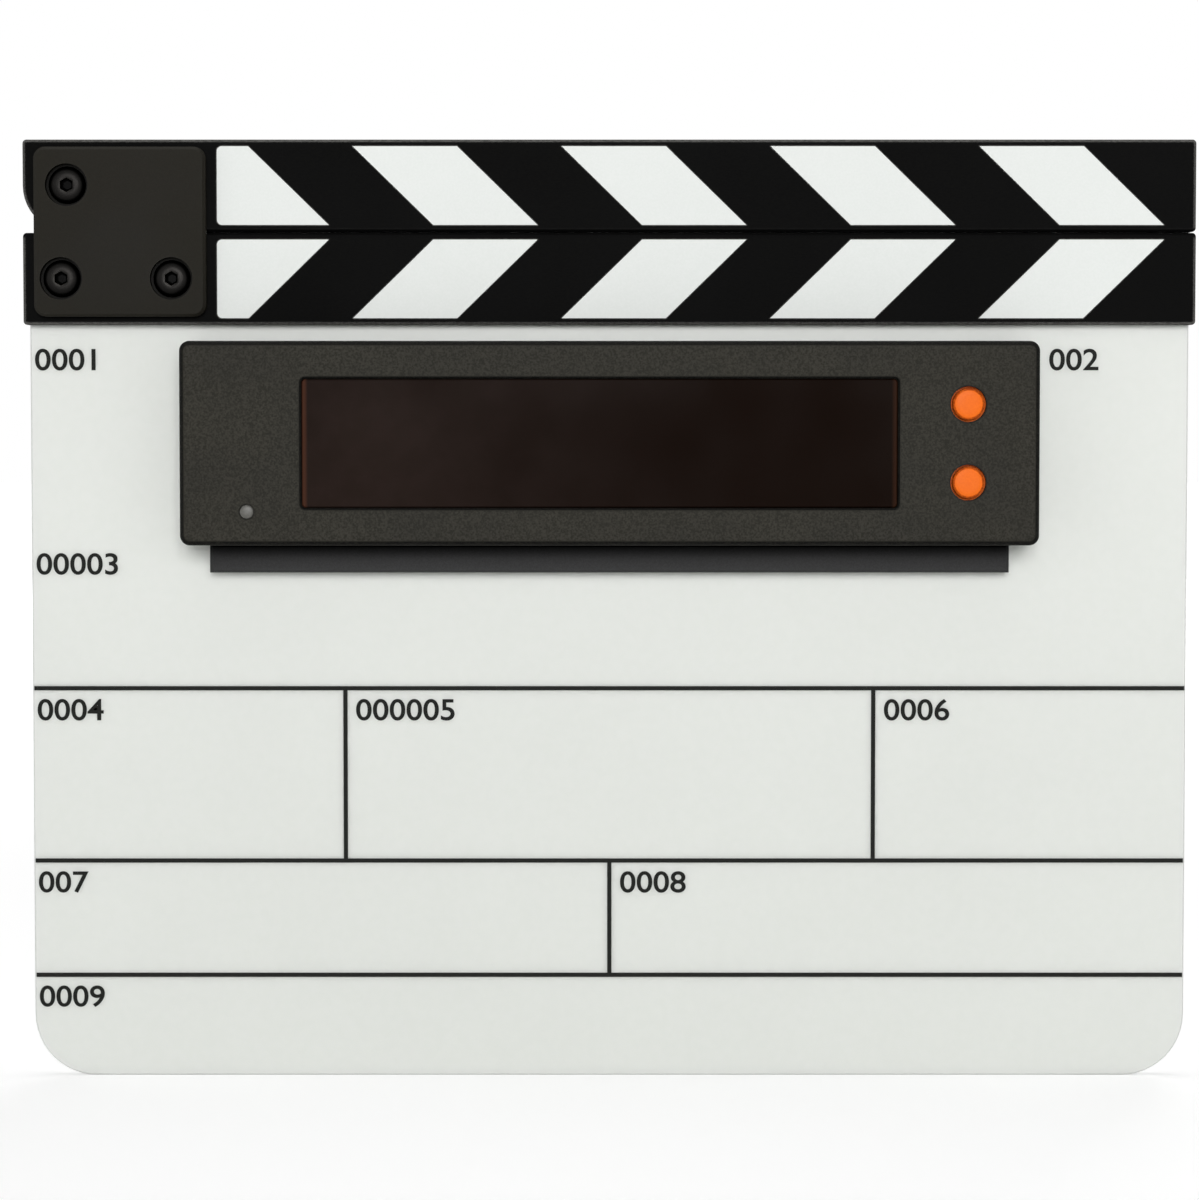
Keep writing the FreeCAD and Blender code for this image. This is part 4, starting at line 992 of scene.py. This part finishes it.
@dataclass
class Board:
    """White board with inlaid ruled lines and a printed number in each field.

    Sizes are in millimetres, from the middle of the board's bottom edge.

    Attributes:
        number_height: Height of the printed figures.
        number_weight: How much their strokes are fattened, as a share of the type's size.
        number_width: How much they are widened.
        number_steps: Straight steps in each curve of their outlines.
        ink: Thickness of the print.
        margin: Space from the board's edge to a figure.
        line_space: Space from a ruled line to a figure beside or below it.
        rows: Heights of the three ruled lines.
        columns: Places of the two columns in the upper row; the lower row's is in the middle.
        stick_space: Space from the lower stick to the figures below it.
        display_space: Space from the display to the figure on its right.
    """

    number_height: float = 5.6
    number_weight: float = 0.012
    number_width: float = 1.12
    number_steps: int = 8
    ink: float = 0.05
    margin: float = 1.2
    line_space: float = 2.75
    rows: tuple[float, float, float] = (100.4, 55.8, 26.1)
    columns: tuple[float, float] = (-68.0, 68.0)
    stick_space: float = 6.0
    display_space: float = 4.7

    def dress(self) -> None:
        """Give the board and its lines their finishes."""
        paint("slate_board", WHITE_ACRYLIC)
        paint("ruled_lines", LINE_INK)

    def fields(self) -> list[tuple[float, float, int]]:
        """List the fields in reading order.

        Returns:
            Left and top of each number in millimetres, and how many figures it has.
        """
        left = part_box("slate_board")[0].x / MM + self.margin
        below_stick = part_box("lower_clapstick")[0].z / MM - self.stick_space
        display_low, display_high = (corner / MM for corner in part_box("display_front_shell"))
        upper, middle, lower = (row - self.line_space for row in self.rows)
        first, second = (column + self.line_space for column in self.columns)
        return [
            (left, below_stick, 4),
            (display_high.x + self.display_space, below_stick, 3),
            (left, display_low.z - self.line_space, 5),
            (left, upper, 4),
            (first, upper, 6),
            (second, upper, 4),
            (left, middle, 3),
            (self.line_space, middle, 4),
            (left, lower, 4),
        ]

    def number(self, text: str, left: float, top: float) -> Piece:
        """Set one number in type and give it the thickness of the print.

        Args:
            text: The figures.
            left, top: Its left and top in millimetres.

        Returns:
            The number as a mesh.
        """
        deselect()
        bpy.ops.object.text_add(rotation=(QUARTER_TURN, 0, 0))
        lettering = bpy.context.object.data
        lettering.body = text
        lettering.offset = self.number_weight
        lettering.resolution_u = self.number_steps
        bpy.ops.object.convert(target="MESH")
        piece = named(f"number_{text}")
        across, _, heights = zip(*(corner.co for corner in piece.data.vertices))
        size = self.number_height * MM / (max(heights) - min(heights))
        to_origin = Matrix.Translation((-min(across), 0, -min(heights)))
        to_size = Matrix.Diagonal((size * self.number_width, size, size, 1))
        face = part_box("slate_board")[0].y
        to_place = Matrix.Translation((left * MM, face, (top - self.number_height) * MM))
        piece.data.transform(to_place @ to_size @ to_origin)
        start_edit(piece)
        bpy.ops.mesh.select_all(action="SELECT")
        bpy.ops.mesh.beautify_fill()
        extrude((0, -self.ink * MM, 0))
        end_edit()
        return piece

    def model(self) -> None:
        """Print the numbers of the fields."""
        numbers = [self.number(f"{index:0{figures}d}", left, top)
                   for index, (left, top, figures) in enumerate(self.fields(), start=1)]
        fit(joined(numbers, "field_numbers"), SLATE_BODY, LINE_INK)


@dataclass
class ClapSticks:
    """The two sticks with their white patches, and the screws behind the lower one."""

    screw: CountersunkScrew = CountersunkScrew(
        "stick_screws", Facing.REAR, Recess.CROSS, shank=1.75, recess_size=3.4, recess_depth=1.5)

    def dress(self) -> None:
        """Give the sticks and their patches their finishes."""
        # Painted highlight: the sticks' outer edges and rounded rims are painted light grey
        stick_black = StickFinish(
            "stick_black", srgb(6, 6, 6), srgb(11, 11, 10), srgb(114, 113, 110),
            specular=0.018, grain_size=0.35, grain_depth=0.006, stretch=(0.35, 1.0, 1.0),
            patch_amount=0.3, wear_and_shading_amount=0.6, rounded_shading=1.0, seam=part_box("lower_clapstick")[1].z)
        for place in ("lower", "upper"):
            paint(f"{place}_clapstick", stick_black)
            paint(f"{place}_stripe_inlays", STRIPE_WHITE)

    def model(self) -> None:
        """Model the screws that hold the board in the lower stick."""
        self.screw.build(SLATE_BODY, "stick_cross_screws", SCREW_BLACK)


@dataclass
class Hinge:
    """Hinge plates, pivot and the domed screws that clamp them.

    Attributes:
        socket: Width across the hexagon sockets in millimetres.
        socket_depth: Depth of the sockets in millimetres.
        screw_shank, barrel_shank: Radii of the shanks in millimetres.
    """

    socket: float = 3.2
    socket_depth: float = 2.0
    screw_shank: float = 2.5
    barrel_shank: float = 3.5

    def dress(self) -> None:
        """Give the plates, the bush and the washers their finishes."""
        paint("hinge_plate_front", PLATE_BLACK)
        paint("hinge_plate_rear", PLATE_BLACK)
        paint("pivot_bush", BUSH_BRASS)
        paint("pivot_washers", WASHER_NYLON)

    def model(self) -> None:
        """Model the screws in front and the barrel nuts behind."""
        for node, name, facing, shank in (
            ("pivot_screw", "pivot_button_screw", Facing.FRONT, self.screw_shank),
            ("hinge_screws", "hinge_button_screws", Facing.FRONT, self.screw_shank),
            ("pivot_barrel", "pivot_barrel_nut", Facing.REAR, self.barrel_shank),
            ("hinge_barrels", "hinge_barrel_nuts", Facing.REAR, self.barrel_shank),
        ):
            screw = ButtonScrew(node, facing, Recess.HEX, shank, self.socket, self.socket_depth)
            screw.build(SLATE_BODY, name, SCREW_BLACK)


@dataclass
class Bracket:
    """Angle bracket with the screws that hold it and the display to the board."""

    bracket_screw: CountersunkScrew = CountersunkScrew(
        "bracket_screws", Facing.REAR, Recess.CROSS, shank=1.5, recess_size=2.9, recess_depth=1.2)
    display_screw: CountersunkScrew = CountersunkScrew(
        "display_screws", Facing.REAR, Recess.CROSS, shank=2.0, recess_size=3.8, recess_depth=1.6)

    def dress(self) -> None:
        """Give the bracket its finish."""
        paint("display_bracket", BRACKET_BLACK)

    def model(self) -> None:
        """Model the screws that show behind the board."""
        self.bracket_screw.build(SLATE_BODY, "bracket_cross_screws", SCREW_BLACK)
        self.display_screw.build(SLATE_BODY, "display_cross_screws", SCREW_BLACK)


@dataclass
class Display:
    """Time display: case, tinted window, two buttons, lens and charging socket.

    Sizes are in millimetres.

    Attributes:
        pane_inset: From the window's hidden flange to the end of its pane.
        cap_radius, cap_round, cap_crown: A button cap, its rounded rim and its raised middle.
        cap_flat: Flat middle of the crown, as a share of the face inside the rim.
        flange_depth, flange_thickness, stem_radius: What a cap has behind the case's wall.
        lens_radius, lens_proud: The lens and how far its dome stands out.
        lens_flat: Flat middle of the dome, as a share of its radius.
        lens_flange_depth, lens_flange_thickness: The flange that keeps the lens in.
        contacts: Contacts on each side of the socket's tongue.
        contact_pitch, contact_width, contact_length, contact_lift: The contacts' sizes.
        tongue_thickness, tongue_inset: The tongue that carries them.
    """

    pane_inset: float = 2.15
    cap_radius: float = 4.0
    cap_round: float = 0.8
    cap_crown: float = 0.12
    cap_flat: float = 1 / 6
    flange_depth: float = 3.15
    flange_thickness: float = 1.2
    stem_radius: float = 1.7
    lens_radius: float = 1.7
    lens_proud: float = 0.3
    lens_flat: float = 1 / 8
    lens_flange_depth: float = 2.5
    lens_flange_thickness: float = 1.0
    contacts: int = 6
    contact_pitch: float = 0.9
    contact_width: float = 0.5
    contact_length: float = 3.6
    contact_lift: float = 0.06
    tongue_thickness: float = 0.7
    tongue_inset: float = 1.6

    def dress(self) -> None:
        """Give the case, the window and what they hold their finishes."""
        low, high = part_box("display_window")
        # Painted reflection darkens the window towards its right end, and painted light sits along its
        # cut ends
        window_tint = TintedPane(
            "window_tint", srgb(31, 22, 18), srgb(35, 25, 22), srgb(12, 7, 6),
            roughness=0.16, specular=0.018, grain_size=6.0, grain_depth=0.0005,
            patch_amount=0.5, wear_and_shading_width=0.6, wear_and_shading_amount=0.6,
            dark_reflection=srgb(17, 7, 3), painted_glow=srgb(66, 40, 29), right_painted_glow=srgb(40, 22, 12),
            ends=(low.x + self.pane_inset * MM, high.x - self.pane_inset * MM))
        finishes = {
            "display_front_shell": CASE_GREY,
            "display_rear_cover": CASE_GREY,
            "display_window": window_tint,
            "window_seal": SEAL_FOAM,
            "cover_screws": SCREW_BLACK,
            "circuit_screws": SCREW_BLACK,
            "display_inserts": BUSH_BRASS,
            "digit_modules": DIGIT_FACE,
            "circuit_board": CIRCUIT_GREEN,
            "upper_plunger": SWITCH_BLACK,
            "lower_plunger": SWITCH_BLACK,
            "button_switches": SWITCH_BLACK,
            "light_sensor": SWITCH_BLACK,
            "battery_cell": BATTERY_WRAP,
            "charging_socket": SOCKET_STEEL,
        }
        for node, finish in finishes.items():
            paint(node, finish)

    def button(self, place: str) -> None:
        """Model one push button: rounded cap, flange and stem.

        Args:
            place: Whether it is the upper or the lower button.
        """
        node = f"{place}_button"
        low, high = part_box(node)
        length, flange = high.y - low.y, (high.x - low.x) / 2
        cap, stem = self.cap_radius * MM, self.stem_radius * MM
        front, back = self.flange_depth * MM, (self.flange_depth + self.flange_thickness) * MM
        edge, crown = (self.cap_round + self.cap_crown) * MM, self.cap_crown * MM
        inner = cap - self.cap_round * MM
        rings = [(length, stem), (back, stem), (back, flange), (front, flange), (front, cap), (edge, cap)]
        rings += quarter_round(edge, crown, cap, inner)
        rings += quarter_round(crown, 0.0, inner, inner * self.cap_flat, CROWN_STEPS)
        piece = turned(f"{place}_button_cap", face_middle((low, high), Facing.FRONT), Facing.FRONT, rings)
        fit(piece, f"{place}_button_unit", BUTTON_ORANGE, node)

    def lens(self) -> None:
        """Model the small domed lens beside the window."""
        low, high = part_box("sensor_lens")
        length, flange = high.y - low.y, (high.x - low.x) / 2
        rod, proud = self.lens_radius * MM, self.lens_proud * MM
        front = self.lens_flange_depth * MM + proud
        back = front + self.lens_flange_thickness * MM
        face = face_middle((low, high), Facing.FRONT) - Vector((0, proud, 0))
        rings = [(length + proud, rod), (back, rod), (back, flange), (front, flange), (front, rod),
                 (proud, rod), *quarter_round(proud, 0.0, rod, rod * self.lens_flat)]
        fit(turned("lens_dome", face, Facing.FRONT, rings), SLATE_BODY, LENS_CLEAR, "sensor_lens")

    def socket_contacts(self) -> None:
        """Model the contacts on both sides of the charging socket's tongue."""
        low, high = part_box("charging_socket")
        middle = (low + high) / 2
        first = middle.z - (self.contacts - 1) / 2 * self.contact_pitch * MM
        centre = high.x - (self.tongue_inset + self.contact_length / 2) * MM
        tongue_face = self.tongue_thickness * MM / 2 + SAME_PLACE
        rows = []
        for side in Facing:
            lift = side.value * (self.tongue_thickness + self.contact_lift) / 2 * MM
            deselect()
            bpy.ops.mesh.primitive_cube_add(
                size=1, location=(centre, middle.y + lift, first),
                scale=(self.contact_length * MM, self.contact_lift * MM, self.contact_width * MM))
            strip = named(f"contact_{side.name.lower()}")
            mesh = start_edit(strip, "EDGE")
            pick(strip, mesh.edges, lambda edge: all(
                (corner.co.y - middle.y) * side.value > tongue_face for corner in edge.verts))
            bpy.ops.mesh.bevel(offset=self.contact_lift * MM / 2, segments=EASED_SEGMENTS)
            end_edit()
            apply_modifier(strip, "ARRAY", count=self.contacts, use_relative_offset=False,
                           use_constant_offset=True,
                           constant_offset_displace=(0, 0, self.contact_pitch * MM))
            rows.append(strip)
        fit(joined(rows, "socket_contacts"), SLATE_BODY, BUSH_BRASS)

    def model(self) -> None:
        """Model the buttons, the lens and the socket's contacts."""
        self.button("upper")
        self.button("lower")
        self.lens()
        self.socket_contacts()


# Studio


@dataclass(frozen=True)
class Softbox:
    """A large soft lamp.

    Attributes:
        name: The lamp's name.
        place: Where it stands, in metres.
        size: Its width and height in metres.
        power: Its power in watts.
    """

    name: str
    place: tuple[float, float, float]
    size: tuple[float, float]
    power: float


@dataclass
class Studio:
    """Pale floor, soft light and the camera.

    Attributes:
        camera_place: Where the camera stands, in metres.
        camera_tilt: How far it looks down, in degrees.
        lens, sensor: Focal length and sensor width in millimetres.
        floor_size: Side of the floor in metres.
        floor_white, floor_roughness: Colour and roughness of the floor.
        floor_lift, far_lift: How much the floor is lifted towards white where it is looked at,
            near the object and far from it.
        near, far: Distances in metres between which the lift grows.
        ambient: Light from all round.
        aim: Where the lamps look, in metres.
        lamps: The lamps.
    """

    camera_place: tuple[float, float, float] = (-0.00253, -1.0, 0.17523)
    camera_tilt: float = 2.986
    lens: float = 116.62
    sensor: float = 36.0
    floor_size: float = 14.0
    floor_white: float = 0.8
    floor_roughness: float = 0.9
    floor_lift: float = 0.42
    far_lift: float = 0.92
    near: float = 0.4
    far: float = 2.0
    ambient: float = 0.2
    aim: tuple[float, float, float] = (0.0, 0.0, 0.13)
    lamps: tuple[Softbox, ...] = (
        Softbox("key_softbox", (0.08, -3.2, 0.72), (1.0, 0.7), 60.0),
        Softbox("left_softbox", (-1.5, -1.3, 0.4), (1.0, 1.0), 2.5),
        Softbox("right_softbox", (1.1, -1.9, 0.45), (1.0, 0.8), 2.2),
        Softbox("top_softbox", (0.0, 0.1, 1.5), (1.2, 1.2), 8.0),
        Softbox("back_softbox", (0.5, 2.6, 0.7), (1.4, 1.0), 34.0),
    )

    def seen_share(self, graph: Graph) -> Socket:
        """Tell rays that look at the background from rays that light the object.

        Args:
            graph: The nodes of the floor or the world.

        Returns:
            1 for camera, glossy and transmission rays, and 0 for the rest.
        """
        path = graph.add("ShaderNodeLightPath").outputs
        looked = graph.math("MAXIMUM", path["Is Camera Ray"], path["Is Glossy Ray"])
        return graph.math("MAXIMUM", looked, path["Is Transmission Ray"])

    def floor(self) -> None:
        """Lay the floor, which is white where it is looked at and keeps shadows."""
        deselect()
        bpy.ops.mesh.primitive_plane_add(size=self.floor_size)
        plane = named("studio_floor")
        material = bpy.data.materials.new("floor_white")
        material.use_nodes = True
        graph = Graph(material.node_tree)
        place = graph.add("ShaderNodeTexCoord").outputs["Object"]
        away = graph.add("ShaderNodeVectorMath", {0: place}, operation="LENGTH").outputs["Value"]
        lift = graph.spread(away, self.near, self.far, self.floor_lift, self.far_lift)
        graph.feed(graph.tree.nodes["Principled BSDF"], {
            "Base Color": (self.floor_white, self.floor_white, self.floor_white, 1.0),
            "Roughness": self.floor_roughness,
            "Specular IOR Level": 0.0,
            "Emission Color": WHITE,
            "Emission Strength": graph.math("MULTIPLY", self.seen_share(graph), lift),
        })
        plane.data.materials.append(material)

    def world(self) -> None:
        """Fill the room with even light, and show it white."""
        world = bpy.data.worlds.new("studio")
        world.use_nodes = True
        bpy.context.scene.world = world
        graph = Graph(world.node_tree)
        graph.feed(graph.tree.nodes["Background"], {
            "Color": WHITE,
            "Strength": graph.spread(self.seen_share(graph), 0.0, 1.0, self.ambient, 1.0),
        })

    def light(self) -> None:
        """Hang the soft lamps."""
        for lamp in self.lamps:
            data = bpy.data.lights.new(lamp.name, "AREA")
            data.shape = "RECTANGLE"
            data.size, data.size_y = lamp.size
            data.energy = lamp.power
            hung = bpy.data.objects.new(lamp.name, data)
            hung.location = lamp.place
            look = Vector(self.aim) - Vector(lamp.place)
            hung.rotation_euler = look.to_track_quat("-Z", "Y").to_euler()
            hung.visible_camera = False
            bpy.context.scene.collection.objects.link(hung)

    def camera(self) -> None:
        """Set up the camera at the photograph's viewing angle."""
        data = bpy.data.cameras.new("camera")
        data.sensor_fit = "HORIZONTAL"
        data.sensor_width = self.sensor
        data.lens = self.lens
        camera = bpy.data.objects.new("camera", data)
        camera.location = self.camera_place
        camera.rotation_euler = (QUARTER_TURN - math.radians(self.camera_tilt), 0, 0)
        bpy.context.scene.collection.objects.link(camera)
        bpy.context.scene.camera = camera

    def set_up(self) -> None:
        """Set up the whole studio."""
        bpy.context.scene.view_settings.view_transform = "Standard"
        self.floor()
        self.world()
        self.light()
        self.camera()


def main() -> None:
    """Dress and model each sub-assembly, then set up the studio."""
    logging.basicConfig(level=logging.INFO, format="%(message)s")
    for assembly in (Board(), ClapSticks(), Hinge(), Bracket(), Display()):
        assembly.dress()
        assembly.model()
    Studio().set_up()


if __name__ == "__main__":
    main()
